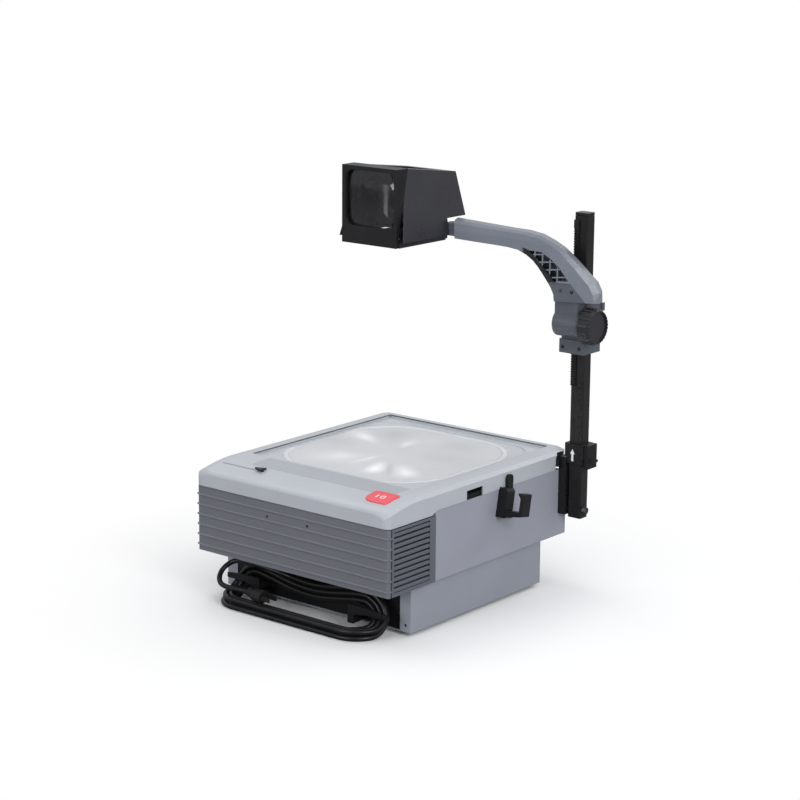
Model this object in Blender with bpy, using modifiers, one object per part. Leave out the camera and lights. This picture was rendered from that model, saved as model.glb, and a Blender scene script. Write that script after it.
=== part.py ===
"""Overhead projector with a folding mast, a height-adjustable head, a hinged stage lid and a wound mains cord.

Metres, +Z up. The drawing coordinates have the housing's centre at x = y = 0 and the floor at z = 0; the empty
"machine_frame" carries everything and puts the world origin under the middle of the whole machine's footprint.
"""

import math

import bmesh
import bpy
import numpy as np
from mathutils import Matrix, Vector

# Clearances
GAP = 0.0003
RUN = 0.0006
OVERRUN = 0.004
SHEET = 0.0015

# Pedestal
PED_X = 0.1615
PED_FRONT = -0.141
PED_REAR = 0.143
FOOT_HEIGHT = 0.005
FOOT_RADIUS = 0.0095
FOOT_INSET = 0.020
PED_RETURN = 0.0185
PED_PANEL_SETBACK = 0.002
PED_PANEL_SLOT_X = 0.058
PED_PANEL_SLOT_LENGTH = 0.057
PED_PANEL_SLOT_Z = 0.027
PED_PANEL_SLOT_HEIGHT = 0.004
PED_HOLE_RADIUS = 0.002
PED_HOLE_Z = 0.0145

# Housing
HOUSING_X = 0.1650
HOUSING_FRONT = -0.1905
HOUSING_REAR = 0.1930
HOUSING_BOTTOM = 0.0660
HOUSING_TOP = 0.1565
SKIN = 0.0012
SIDE_TOP = 0.1560
SIDE_BOTTOM = 0.0668
SIDE_FRONT = -0.0990
SIDE_CORNER = 0.006
VENT_SLOTS = 9
VENT_SLOT_WIDTH = 0.006
VENT_SLOT_HEIGHT = 0.056
VENT_PITCH = 0.014

# Ribbed front panel
PANEL_WALL = 0.0018
PANEL_FRONT = -0.1932
PANEL_BOTTOM = 0.0662
PANEL_TOP = 0.1560
PANEL_CORNER = 0.0035
RIB_COUNT = 6
RIB_PITCH = 0.0140
RIB_FIRST = 0.0745
RIB_HEIGHT = 0.0030
RIB_PROUD = 0.0020
RIB_TIP_SHARE = 0.35
PIN_HOLE_RADIUS = 0.0011
PIN_HOLE_Z = 0.1358
PIN_HOLES_X = (-0.0402, 0.0300)

# Louvre panels
LOUVRE_FRONT = -0.1878
LOUVRE_REAR = -0.0993
LOUVRE_THICK = 0.0030
LOUVRE_MARGIN = 0.0035
LOUVRE_REAR_MARGIN = 0.0125
LOUVRE_LIP = 0.0050
SLAT_COUNT = 11
SLAT_THICK = 0.0034
SLAT_FALL = 0.0020

# Top cover
COVER_X = 0.1676
COVER_FRONT = -0.1952
COVER_REAR = 0.1985
COVER_BOTTOM = 0.1572
COVER_SHOULDER = 0.1745
COVER_TOP = 0.1885
COVER_CREST_Y = -0.1360
COVER_CORNER = 0.0090
COVER_WALL = 0.0020
COVER_STEP_Z = 0.1618
COVER_STEP_Y = -0.1010
COVER_STEP_SLANT = 0.0060
NOTCH_FRONT = -0.0340
NOTCH_REAR = 0.0005
NOTCH_TOP = 0.1745
MAST_CUT_FRONT = 0.1660
MAST_CUT_DEPTH = 0.0090
MAST_CUT_TOP = 0.1845

# Stage
GLASS_X = 0.2830
GLASS_Y = 0.2960
GLASS_CENTRE_Y = 0.0360
GLASS_TOP = 0.1877
GLASS_THICK = 0.0030
GLASS_CORNER = 0.0030
LENS_SIDE = 0.2670
LENS_ROUND = 0.3050
LENS_THICK = 0.0028
LENS_ZONES = 8
LENS_GROOVE = 0.0008
LENS_STEPS = 40
LENS_DOWN = 0.0010
FRAME_MARGIN = 0.0070
FRAME_LIP = 0.0050
FRAME_FLOOR = 0.0022

# Front strip of the cover: button, changer slot
BUTTON_LEFT = 0.1080
BUTTON_RIGHT = 0.1485
BUTTON_FRONT = -0.1780
BUTTON_REAR = -0.1470
BUTTON_CORNER = 0.0040
BUTTON_ROUND = 0.0150
BUTTON_PROUD = 0.0012
BUTTON_TRAVEL = 0.0020
BUTTON_BODY = 0.0100
SLOT_LEFT = -0.1465
SLOT_RIGHT = -0.0715
SLOT_Y = -0.1655
SLOT_WIDTH = 0.0026
POINTER_LENGTH = 0.0130
POINTER_WIDTH = 0.0150
POINTER_HEIGHT = 0.0024
POINTER_LIFT = 0.0006
CHANGER_TRAVEL = 0.0450

# Inner workings
TRAFO_X = 0.0700
TRAFO_Y = 0.0620
TRAFO_Z = 0.0560
TRAFO_CENTRE = (0.1050, 0.1050)
FAN_RADIUS = 0.0360
FAN_CENTRE_X = -0.0300
FAN_DEPTH = 0.0240
FAN_WALL = 0.0020
FAN_BLADES = 7
FAN_BLADE_THICK = 0.0016
FAN_HUB_RADIUS = 0.0110
FAN_MOTOR_LENGTH = 0.0260
FAN_CENTRE_Z = 0.1110
REFLECTOR_DEPTH = 0.0200
REFLECTOR_WALL = 0.0016
REFLECTOR_HOLE = 0.0140
CONDENSER_RADIUS = 0.0330
CONDENSER_THICK = 0.0140
CONDENSER_Z = 0.1300
CONDENSER_RING = 0.0040
LAMP_BULB_RADIUS = 0.0060
LAMP_BULB_LENGTH = 0.0220
LAMP_BASE_RADIUS = 0.0070
LAMP_BASE_LENGTH = 0.0080
LAMP_PITCH = 0.0450
RAIL_LENGTH = 0.1500
RAIL_WIDTH = 0.0120
RAIL_HEIGHT = 0.0100

# Lid hinge on the left side
HINGE_RADIUS = 0.0020
HINGE_KNUCKLE = 0.0038
HINGE_STAND = 0.0043
HINGE_ROOT_RISE = 0.0018
HINGE_KNUCKLE_LENGTH = 0.0280
HINGE_PLACES = (-0.0750, 0.1150)
HINGE_Z = 0.1500

# Mast, bracket and pivot
MAST_X0 = 0.1815
MAST_X1 = 0.2025
MAST_Y0 = 0.1770
MAST_Y1 = 0.1940
MAST_BOTTOM = 0.0960
MAST_TOP = 0.5150
MAST_WALL = 0.0016
CAP_HEIGHT = 0.0040
CAP_PLUG = 0.0080
PIVOT_Y = 0.1850
PIVOT_Z = 0.1070
PIVOT_RADIUS = 0.0040
BOLT_HEAD_RADIUS = 0.0059
BOLT_HEAD_LENGTH = 0.0045
BRACKET_X0 = 0.1667
BRACKET_WEB = 0.0025
BRACKET_OUT = 0.1787
BRACKET_FRONT = 0.1745
BRACKET_REAR = 0.1925
BRACKET_BOTTOM = 0.0985
BRACKET_TOP = 0.1805
BRACKET_ROUND = 0.0080
RACK_X0 = 0.1822
RACK_WIDTH = 0.0080
RACK_BODY = 0.0012
RACK_TOOTH = 0.0014
RACK_PITCH = 0.0035
RACK_TOP = 0.4960
RACK_BOTTOM = 0.2820
MAST_FOLD_DEG = 36.0

# Release collar round the mast
COLLAR_X0 = 0.1765
COLLAR_X1 = 0.2065
COLLAR_Y0 = 0.1730
COLLAR_Y1 = 0.1985
COLLAR_Z0 = 0.1820
COLLAR_Z1 = 0.2015
COLLAR_APRON = 0.1735
COLLAR_BLOCK_X = 0.2130
COLLAR_BLOCK_Y0 = 0.1760
COLLAR_BLOCK_Z0 = 0.1680
FIN_TIP_X = 0.2220
FIN_Z = 0.1795
FIN_THICK = 0.0040
FIN_WIDTH = 0.0120
FIN_RISE = 0.0030
COLLAR_TRAVEL = 0.0120

# Rest hook on the right wall and the small lever above it
HOOK_LEAN_DEG = 11.0
HOOK_Y = 0.0350
HOOK_DEPTH = 0.0170
HOOK_X0 = 0.1667
HOOK_MOUTH_X0 = 0.1810
HOOK_MOUTH_X1 = 0.2035
HOOK_X1 = 0.2130
HOOK_BOTTOM = 0.1240
HOOK_BAR = 0.0100
HOOK_TOP = 0.1620
HOOK_BACK_TOP = 0.1500
HOOK_BARB = 0.0040
HOOK_BARB_HEIGHT = 0.0060
LEVER_Y = 0.0557
LEVER_PIVOT_Z = 0.1530
LEVER_LENGTH = 0.0265
LEVER_BIG = 0.0068
LEVER_SMALL = 0.0050
LEVER_THICK = 0.0040
LEVER_PIN_RADIUS = 0.0020
LEVER_SWING_DEG = 60.0

# Carriage on the mast
CAR_X0 = 0.1720
CAR_X1 = 0.2120
CAR_BLOCK_X0 = 0.1705
CAR_BLOCK_X1 = 0.2105
CAR_BLOCK_Y0 = 0.1630
CAR_REAR = 0.2025
CAR_BLOCK_Z0 = 0.3290
CAR_BLOCK_Z1 = 0.3480
CAR_BODY_Z1 = 0.4230
CAR_BODY_Y0 = 0.1660
CAR_PLATE_Y = 0.1470
CAR_PLATE_X0 = 0.1730
CAR_PLATE_X1 = 0.2100
CAR_PLATE_Z0 = 0.3760
BARREL_Y = 0.1600
BARREL_Z = 0.3715
BARREL_RADIUS = 0.0185
BARREL_X0 = 0.1720
BARREL_X1 = 0.2147
CAR_TAB_X = 0.2145
CAR_TAB_Y0 = 0.1995
CAR_TAB_Y1 = 0.2055
CAR_TAB_Z0 = 0.3855
CAR_TAB_Z1 = 0.3965
CAR_SCREW_RADIUS = 0.0028
CAR_SCREW_DEPTH = 0.0020
CAR_LOW_SCREW_X = (0.1765, 0.2030)
CAR_LOW_SCREW_Z = 0.3370
SHAFT_RADIUS = 0.0030
SHAFT_BORE = 0.0036
PINION_TEETH = 12
PINION_ROOT = 0.0060
PINION_TIP = 0.0076
PINION_LENGTH = 0.0060
KNOB_RADIUS = 0.0247
KNOB_FACE_RADIUS = 0.0205
KNOB_X0 = 0.2153
KNOB_X1 = 0.2360
KNOB_FLUTES = 28
KNOB_FLUTE = 0.0010
KNOB_RECESS = 0.0025
FOCUS_UP = 0.0880
FOCUS_DOWN = 0.0800

# Arm
ARM_ROOT = (0.2000, 0.1550)
ARM_END = (0.0500, 0.0830)
ARM_HALF = 0.0150
ARM_RIB = 0.0016
ARM_RIB_SINK = 0.0012
ARM_TIP_SHARE = 0.980
ARM_TOP_SHARES = (
    (ARM_TIP_SHARE, 0.962), (0.945, 0.955), (0.704, 0.906), (0.464, 0.857), (0.340, 0.840), (0.234, 0.786), (0.100, 0.660),
    (-0.016, 0.493), (-0.124, 0.312), (-0.196, 0.208), (-0.213, 0.100), (-0.213, 0.000),
)
ARM_RIDGE_SHARES = (
    (ARM_TIP_SHARE, 0.826), (0.868, 0.813), (0.621, 0.786), (0.457, 0.754), (0.308, 0.711), (0.260, 0.660), (0.206, 0.581),
    (0.168, 0.473), (0.107, 0.368), (0.044, 0.215), (-0.011, 0.081), (-0.060, 0.000),
)
ARM_BOTTOM_SHARES = (
    (ARM_TIP_SHARE, 0.729), (0.785, 0.694), (0.558, 0.656), (0.443, 0.616), (0.372, 0.547), (0.317, 0.469), (0.245, 0.310),
    (0.171, 0.127), (0.166, 0.090), (0.163, 0.060), (0.161, 0.030), (0.160, 0.000),
)
ARM_RISE = 0.1080
CAR_TOP_RISE = 0.0325
ARM_STATIONS = 15
ARM_TOP_HALF_SHARE = 0.72
ARM_BOTTOM_HALF_SHARE = 0.80
WINDOW_SHARES = ((0.375, 0.621), (0.326, 0.621), (0.262, 0.606), (0.188, 0.531), (0.113, 0.412), (0.045, 0.262),
                 (0.166, 0.252), (0.226, 0.366), (0.300, 0.515))
WINDOW_BARS = 4
ARM_SCREW_RADIUS = 0.0026
ARM_SCREW_DEPTH = 0.0020
ARM_SCREW_SHARES = ((0.108, 0.143), (0.016, 0.128))

# Projection head
HEAD_X = -0.0030
HEAD_AXIS_Y = 0.0830
HEAD_AXIS_RISE = 0.0900
HOOD_DROP = 0.0070
HOOD_BASE_HALF = 0.0555
HOOD_TOP_HALF = 0.0395
HOOD_FRONT_BASE = -0.0270
HOOD_FRONT_TOP = -0.0080
HOOD_FRONT_HEIGHT = 0.0955
HOOD_REAR_HEIGHT = 0.0820
HOOD_TOP_REAR_Y = 0.1000
HOOD_OVERHANG_Y = 0.1100
HOOD_OVERHANG_RISE = 0.0225
HOOD_BACK_Y = 0.0700
HOOD_WALL = 0.0020
ROOF_HALF = 0.0270
ROOF_FRONT = 0.0120
ROOF_REAR = 0.0780
ROOF_RIM = 0.0025
BEZEL_FRONT = -0.0320
BEZEL_LEFT = -0.0497
BEZEL_RIGHT = 0.0437
BEZEL_PROUD = 0.0010
BEZEL_FOOT = 0.0030
LENS_LEFT = -0.0436
LENS_RIGHT = 0.0391
LENS_FOOT_MARGIN = 0.0238
LENS_HEAD_MARGIN = 0.0057
LENS_CORNER = 0.0120
LENS_RIM_SETBACK = 0.0030
LENS_DISC_SHARE = 1.125
FRONT_LENS_EDGE = 0.0015
FRONT_LENS_CROWN = 0.0035
TRAY_HALF = 0.0480
BEZEL_FOOT_REAR = -0.0265
TRAY_REAR = 0.0715
TRAY_DEPTH = 0.0073
LOWER_LENS_RADIUS = 0.0360
LOWER_LENS_Y = 0.0180
LOWER_LENS_EDGE = 0.0020
LOWER_LENS_CROWN = 0.0022
LOWER_LENS_LIP = 0.0012
MIRROR_LENGTH = 0.1000
MIRROR_WIDTH = 0.0680
MIRROR_THICK = 0.0025
MIRROR_FOOT_Y = 0.0640
KNUCKLE_X0 = 0.0395
KNUCKLE_Y0 = 0.0745
KNUCKLE_Y1 = 0.0915
KNUCKLE_HALF = 0.0085
HEAD_PIN_RADIUS = 0.0030
HEAD_PIN_LENGTH = 0.0180
EAR_X0 = 0.0180
EAR_RADIUS = 0.0075
HEAD_TILT_DEG = (-5.0, 10.0)

# Cord hooks on the pedestal, strain relief, cord, plug
CORD_HOOK_THICK = 0.0030
CORD_HOOK_STEM = 0.0100
CORD_HOOK_Y = -0.1690
CORD_DIAMETER = 0.0070
CORD_LOOPS = 5
RELIEF_BOX_X = 0.0620
RELIEF_BOX_LENGTH = 0.0140
RELIEF_Z = 0.0545
RELIEF_RADIUS = 0.0050
RELIEF_LENGTH = 0.0240
RELIEF_Y = -0.1465
PLUG_LENGTH = 0.0300
PLUG_RADIUS = 0.0110
PLUG_BLADE_LENGTH = 0.0160
PLUG_BLADE_WIDTH = 0.0062
PLUG_BLADE_THICK = 0.0016
PLUG_BLADE_PITCH = 0.0127

SMOOTH_ANGLE = math.radians(35.0)
FINE = 32
ROUND = 20
COARSE = 12

# Colours as seen on the machine: red, green, blue, roughness, metallic
LOOKS = {
    "cover_grey": (0.485, 0.508, 0.552, 0.42, 0.0),
    "front_grey": (0.153, 0.162, 0.188, 0.50, 0.0),
    "side_grey": (0.287, 0.299, 0.352, 0.45, 0.0),
    "base_grey": (0.246, 0.262, 0.300, 0.45, 0.0),
    "arm_grey": (0.159, 0.174, 0.209, 0.40, 0.0),
    "carriage_grey": (0.074, 0.082, 0.095, 0.45, 0.0),
    "hood_black": (0.036, 0.036, 0.047, 0.42, 0.0),
    "mast_black": (0.023, 0.020, 0.021, 0.38, 0.0),
    "plastic_black": (0.016, 0.015, 0.017, 0.45, 0.0),
    "rubber_black": (0.012, 0.012, 0.013, 0.70, 0.0),
    "button_red": (0.807, 0.080, 0.105, 0.40, 0.0),
    "glass_clear": (0.820, 0.850, 0.860, 0.04, 0.0),
    "lens_clear": (0.640, 0.660, 0.670, 0.08, 0.0),
    "steel_bright": (0.550, 0.560, 0.570, 0.30, 1.0),
    "steel_plain": (0.350, 0.350, 0.360, 0.45, 1.0),
    "mirror_silver": (0.900, 0.900, 0.900, 0.03, 1.0),
    "ceramic_white": (0.750, 0.740, 0.700, 0.60, 0.0),
    "copper_brown": (0.350, 0.130, 0.060, 0.50, 0.3),
}

# Further sizes of the cover, stage, inner parts, mast and arm
COVER_NOSE = 0.1790
COVER_SOFT_SHARE = 0.65
COVER_BEVEL_X = 0.0165
COVER_BEVEL_Z = 0.0062
BEVEL_BULGE_SHARE = 0.38
COVER_REAR_CORNER = 0.0080
COVER_NOSE_ROUND = 0.0050
COVER_REAR_ROUND = 0.0040
LENS_SQUARE_CORNER = 0.0420
ZONE_RISE_SHARE = 0.15
FORK_DEPTH = 0.0030
FORK_WIDTH = 0.0120
FORK_THICK = 0.0020
HINGE_LUG = 0.0050
TRAFO_WINDOW_SHARE = 0.17
FAN_PITCH_DEG = 38.0
MAST_CORNER = 0.0015
RACK_HEAD = 0.0140
TAB_DEPTH = 0.0030
TAB_TOP = 0.1680
TAB_INSET = 0.0015
KNOB_EDGE = 0.0022
KNOB_FACE_SHARE = 0.90
ARM_EDGE_SHARE = 0.72
WINDOW_CROSS_DEG = 48.0
ARM_RIB_ROOT = 0.0012

# Hank, lead and plug; the hank is an oval drawn on a sheet, HANK_HEIGHT tall along the sheet
CORD_SPARE = 0.0009
LAYER_SPARE = 0.0022
CORD_SEAT = 0.0004
HANK_BACK = 0.0020
CORD_STEM_X = 0.0780
CORD_STEM_Z = 0.0100
CORD_STEM_HEIGHT = 0.0075
CORD_HOOK_LEFT_TIP = 0.1360
CORD_HOOK_LEFT_Z = 0.0270
CORD_HOOK_RIGHT_TIP = 0.1460
CORD_HOOK_RIGHT_Z = 0.0255
CORD_TONGUE_WIDTH = 0.0095
CORD_KINK_SHARE = 0.35
CORD_TIP_SHARE = 0.72
HANK_TOP = 0.0560
HANK_BEND = 0.0270
HANK_SAG = 0.0130
HANK_SAG_HALF = 0.1000
SAG_FROM = 0.0300
SAG_TO = 0.0600
HANK_HEIGHT = 0.0870
HANK_HALF = 0.1350
HANK_MIDDLE = 0.0030
HANK_START_X = -0.0300
ARC_STEPS = 4
RUN_STEPS = 4
CLIMB_TURNS = 0.5
RELIEF_TIP_SHARE = 0.80
RELIEF_BOX_REACH_SHARE = 1.04
LEAD_POINTS = 14
LEAD_ROUTE = ((0.0171, -0.1465, 0.0529), (0.0036, -0.1465, 0.0493), (-0.0100, -0.1465, 0.04575))
TAIL_POINTS = 26
TAIL_ROUTE = ((-0.0500, -0.1603, 0.0496), (-0.0800, -0.1650, 0.0535))
TAIL_END = (-0.0920, -0.1985, 0.0262)
TURN_X = -0.1120
TURN_TOP = (-0.1665, 0.0540)
TURN_FOOT = (-0.1985, 0.0262)
TURN_STEPS = 6
PLUG_PLACE = (-0.0700, -0.1985, 0.0265)
PLUG_DIRECTION = (1.0, -0.05, 0.0)

# Sizes that follow from the ones above
ARM_FOOT_Z = BARREL_Z + CAR_TOP_RISE
HEAD_AXIS_Z = ARM_FOOT_Z + HEAD_AXIS_RISE
HOOD_BASE_Z = HEAD_AXIS_Z - HOOD_DROP
HOOD_TOP_FRONT_Z = HOOD_BASE_Z + HOOD_FRONT_HEIGHT
HOOD_TOP_REAR_Z = HOOD_BASE_Z + HOOD_REAR_HEIGHT
HOOD_OVERHANG_Z = HOOD_BASE_Z + HOOD_OVERHANG_RISE
TRAY_BOTTOM = HOOD_BASE_Z - TRAY_DEPTH
BEZEL_BOTTOM = TRAY_BOTTOM
BEZEL_TOP = HOOD_TOP_FRONT_Z + BEZEL_PROUD
LENS_BOTTOM = BEZEL_BOTTOM + LENS_FOOT_MARGIN
LENS_TOP = BEZEL_TOP - LENS_HEAD_MARGIN
FRONT_LENS_RADIUS = (LENS_RIGHT - LENS_LEFT) / 2 * LENS_DISC_SHARE
KNUCKLE_Z0 = HEAD_AXIS_Z - KNUCKLE_HALF
KNUCKLE_Z1 = HEAD_AXIS_Z + KNUCKLE_HALF
HINGE_X = -COVER_X - HINGE_STAND
SIDE_FACE_X = HOUSING_X + GAP + SKIN
FOOTPRINT_X = (KNOB_X1 + HINGE_X - HINGE_KNUCKLE) / 2
FOOTPRINT_Y = (CAR_TAB_Y1 + COVER_FRONT) / 2


def clear_scene():
    for obj in list(bpy.data.objects):
        bpy.data.objects.remove(obj, do_unlink=True)


def new_collection(name):
    group = bpy.data.collections.new(name)
    bpy.context.scene.collection.children.link(group)
    return group


def new_material(name):
    red, green, blue, roughness, metallic = LOOKS[name]
    material = bpy.data.materials.new(name)
    material.use_nodes = True
    shader = material.node_tree.nodes["Principled BSDF"]
    shader.inputs["Base Color"].default_value = (red, green, blue, 1)
    shader.inputs["Roughness"].default_value = roughness
    shader.inputs["Metallic"].default_value = metallic
    return material


clear_scene()
PARTS = new_collection("overhead_projector")
CUTTERS = new_collection("overhead_projector_cutters")
MATERIALS = {name: new_material(name) for name in LOOKS}


def pivot(name, place, parent=None):
    """An empty at a place in drawing coordinates."""
    empty = bpy.data.objects.new(name, None)
    PARTS.objects.link(empty)
    empty.empty_display_size = GLASS_THICK
    empty.parent = parent
    empty["place"] = place
    empty.location = Vector(place) - (Vector(parent["place"]) if parent else Vector())
    return empty


def put(obj, parent, origin=None):
    """Hangs a mesh drawn in drawing coordinates under an empty, with its origin at its middle or at a given place."""
    mesh = obj.data
    if origin is None:
        points = np.array([v.co[:] for v in mesh.vertices])
        origin = (points.min(axis=0) + points.max(axis=0)) / 2
    origin = Vector(origin)
    mesh.transform(Matrix.Translation(-origin))
    obj.parent = parent
    obj.location = origin - Vector(parent["place"])
    return obj


def mesh_object(name, mesh, group=None):
    obj = bpy.data.objects.new(name, mesh)
    (group or PARTS).objects.link(obj)
    return obj


def mesh_from(bm, name):
    bmesh.ops.recalc_face_normals(bm, faces=bm.faces)
    mesh = bpy.data.meshes.new(name)
    bm.to_mesh(mesh)
    bm.free()
    return mesh


def box_mesh(low, high):
    bm = bmesh.new()
    bmesh.ops.create_cube(bm, size=1)
    size = Vector(high) - Vector(low)
    middle = (Vector(high) + Vector(low)) / 2
    for vert in bm.verts:
        vert.co = Vector((vert.co.x * size.x, vert.co.y * size.y, vert.co.z * size.z)) + middle
    return mesh_from(bm, "box")


AXES = {
    "X": Matrix(((0, 0, 1, 0), (1, 0, 0, 0), (0, 1, 0, 0), (0, 0, 0, 1))),
    "Y": Matrix(((1, 0, 0, 0), (0, 0, -1, 0), (0, 1, 0, 0), (0, 0, 0, 1))),
    "Z": Matrix.Identity(4),
}


def cone_mesh(radius_low, radius_high, low, high, axis="Z", at=(0, 0), sides=ROUND):
    """A cone or cylinder along an axis from low to high, with its middle at the other two coordinates."""
    bm = bmesh.new()
    bmesh.ops.create_cone(bm, cap_ends=True, segments=sides, radius1=radius_low, radius2=radius_high, depth=high - low)
    mesh = mesh_from(bm, "cone")
    mesh.transform(Matrix.Translation((0, 0, (low + high) / 2)))
    if axis == "X":
        mesh.transform(AXES["X"])
        mesh.transform(Matrix.Translation((0, at[0], at[1])))
    elif axis == "Y":
        mesh.transform(Matrix.Rotation(-math.pi / 2, 4, "X"))
        mesh.transform(Matrix.Translation((at[0], 0, at[1])))
    else:
        mesh.transform(Matrix.Translation((at[0], at[1], 0)))
    return mesh


def rod_mesh(radius, low, high, axis="Z", at=(0, 0), sides=ROUND):
    return cone_mesh(radius, radius, low, high, axis, at, sides)


def evaluated_mesh(obj, name):
    bpy.context.view_layer.update()
    graph = bpy.context.evaluated_depsgraph_get()
    mesh = bpy.data.meshes.new_from_object(obj.evaluated_get(graph))
    mesh.name = name
    return mesh


def outline_mesh(outline, low, high, axis, holes=()):
    """A flat outline, filled and made solid from low to high along an axis."""
    curve = bpy.data.curves.new("outline", "CURVE")
    curve.dimensions = "2D"
    curve.fill_mode = "BOTH"
    curve.extrude = (high - low) / 2
    for loop in (outline, *holes):
        spline = curve.splines.new("POLY")
        spline.points.add(len(loop) - 1)
        for point, (u, v) in zip(spline.points, loop):
            point.co = (u, v, 0, 1)
        spline.use_cyclic_u = True
    drawn = bpy.data.objects.new("outline", curve)
    CUTTERS.objects.link(drawn)
    mesh = evaluated_mesh(drawn, "outline")
    bpy.data.objects.remove(drawn, do_unlink=True)
    bm = bmesh.new()
    bm.from_mesh(mesh)
    bmesh.ops.remove_doubles(bm, verts=bm.verts, dist=GAP / 100)
    bmesh.ops.recalc_face_normals(bm, faces=bm.faces)
    bm.to_mesh(mesh)
    bm.free()
    mesh.transform(AXES[axis])
    middle = (low + high) / 2
    mesh.transform(Matrix.Translation({"X": (middle, 0, 0), "Y": (0, middle, 0), "Z": (0, 0, middle)}[axis]))
    return mesh


def rounded(u0, u1, v0, v1, radius, steps=4):
    """A rectangle with round corners; radius is one number or one for each corner from (u0, v0) round."""
    radii = radius if isinstance(radius, tuple) else (radius,) * 4
    corners = ((u0, v0, 1, 1, 180), (u1, v0, -1, 1, 270), (u1, v1, -1, -1, 0), (u0, v1, 1, -1, 90))
    points = []
    for (u, v, su, sv, start), r in zip(corners, radii):
        if r <= 0:
            points.append((u, v))
            continue
        for k in range(steps + 1):
            turn = math.radians(start + 90 * k / steps)
            points.append((u + su * r + r * math.cos(turn), v + sv * r + r * math.sin(turn)))
    return points


def ring(radius, u, v, sides):
    turns = [2 * math.pi * k / sides for k in range(sides)]
    return [(u + radius * math.cos(t), v + radius * math.sin(t)) for t in turns]


def turned_mesh(profile, steps):
    """A profile of (radius, height) pairs, closed on the axis at both ends, turned about Z."""
    bm = bmesh.new()
    verts = [bm.verts.new((r, 0, z)) for r, z in profile]
    for a, b in zip(verts, verts[1:]):
        bm.edges.new((a, b))
    mesh = bpy.data.meshes.new("turned")
    bm.to_mesh(mesh)
    bm.free()
    drawn = mesh_object("turned", mesh, CUTTERS)
    screw = drawn.modifiers.new("turn", "SCREW")
    screw.steps = steps
    screw.render_steps = steps
    screw.use_merge_vertices = True
    screw.merge_threshold = GAP / 100
    result = evaluated_mesh(drawn, "turned")
    bpy.data.objects.remove(drawn, do_unlink=True)
    bm = bmesh.new()
    bm.from_mesh(result)
    bmesh.ops.remove_doubles(bm, verts=bm.verts, dist=GAP / 100)
    bmesh.ops.recalc_face_normals(bm, faces=bm.faces)
    bm.to_mesh(result)
    bm.free()
    return result


def loft_mesh(sections, split=True):
    """Skins a row of sections, each with as many points, and closes both ends; warped faces are split in triangles."""
    bm = bmesh.new()
    rows = [[bm.verts.new(point) for point in section] for section in sections]
    count = len(rows[0])
    for row, following in zip(rows, rows[1:]):
        for k in range(count):
            after = (k + 1) % count
            bm.faces.new((row[k], row[after], following[after], following[k]))
    bm.faces.new(rows[0][::-1])
    bm.faces.new(rows[-1])
    if split:
        bmesh.ops.triangulate(bm, faces=bm.faces)
    return mesh_from(bm, "loft")


def merged(meshes):
    """Several closed meshes that don't meet, as one."""
    bm = bmesh.new()
    for mesh in meshes:
        bm.from_mesh(mesh)
    result = bpy.data.meshes.new("merged")
    bm.to_mesh(result)
    bm.free()
    return result


def boolean(obj, mesh, operation):
    tool = mesh_object(obj.name + "_" + operation.lower(), mesh, CUTTERS)
    tool.hide_render = True
    tool.display_type = "WIRE"
    put(tool, FRAME)
    modifier = obj.modifiers.new(tool.name, "BOOLEAN")
    modifier.operation = operation
    modifier.object = tool
    return obj


def cut(obj, *meshes):
    for mesh in meshes:
        boolean(obj, mesh, "DIFFERENCE")
    return obj


def join(obj, *meshes):
    for mesh in meshes:
        boolean(obj, mesh, "UNION")
    return obj


def part(name, mesh, look, parent, origin=None, smooth=False):
    obj = mesh_object(name, mesh)
    mesh.name = name
    mesh.materials.clear()
    mesh.materials.append(MATERIALS[look])
    if smooth:
        mesh.shade_smooth()
        mesh.set_sharp_from_angle(angle=SMOOTH_ANGLE)
    return put(obj, parent, origin)


def soften(obj, width, segments=1, angle=50.0):
    bevel = obj.modifiers.new("soft_edges", "BEVEL")
    bevel.width = width
    bevel.segments = segments
    bevel.limit_method = "ANGLE"
    bevel.angle_limit = math.radians(angle)
    return obj


def blend(value, low, high):
    return low + (high - low) * value


FRAME = pivot("machine_frame", (0, 0, 0))
LID = pivot("lid_pivot", (HINGE_X, 0, HINGE_Z), FRAME)
MAST = pivot("mast_pivot", ((MAST_X0 + MAST_X1) / 2, PIVOT_Y, PIVOT_Z), FRAME)
CARRIAGE = pivot("carriage_pivot", ((MAST_X0 + MAST_X1) / 2, BARREL_Y, BARREL_Z), MAST)
KNOB = pivot("knob_pivot", (KNOB_X0, BARREL_Y, BARREL_Z), CARRIAGE)
HEAD = pivot("head_pivot", (HEAD_X, HEAD_AXIS_Y, HEAD_AXIS_Z), CARRIAGE)


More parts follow.
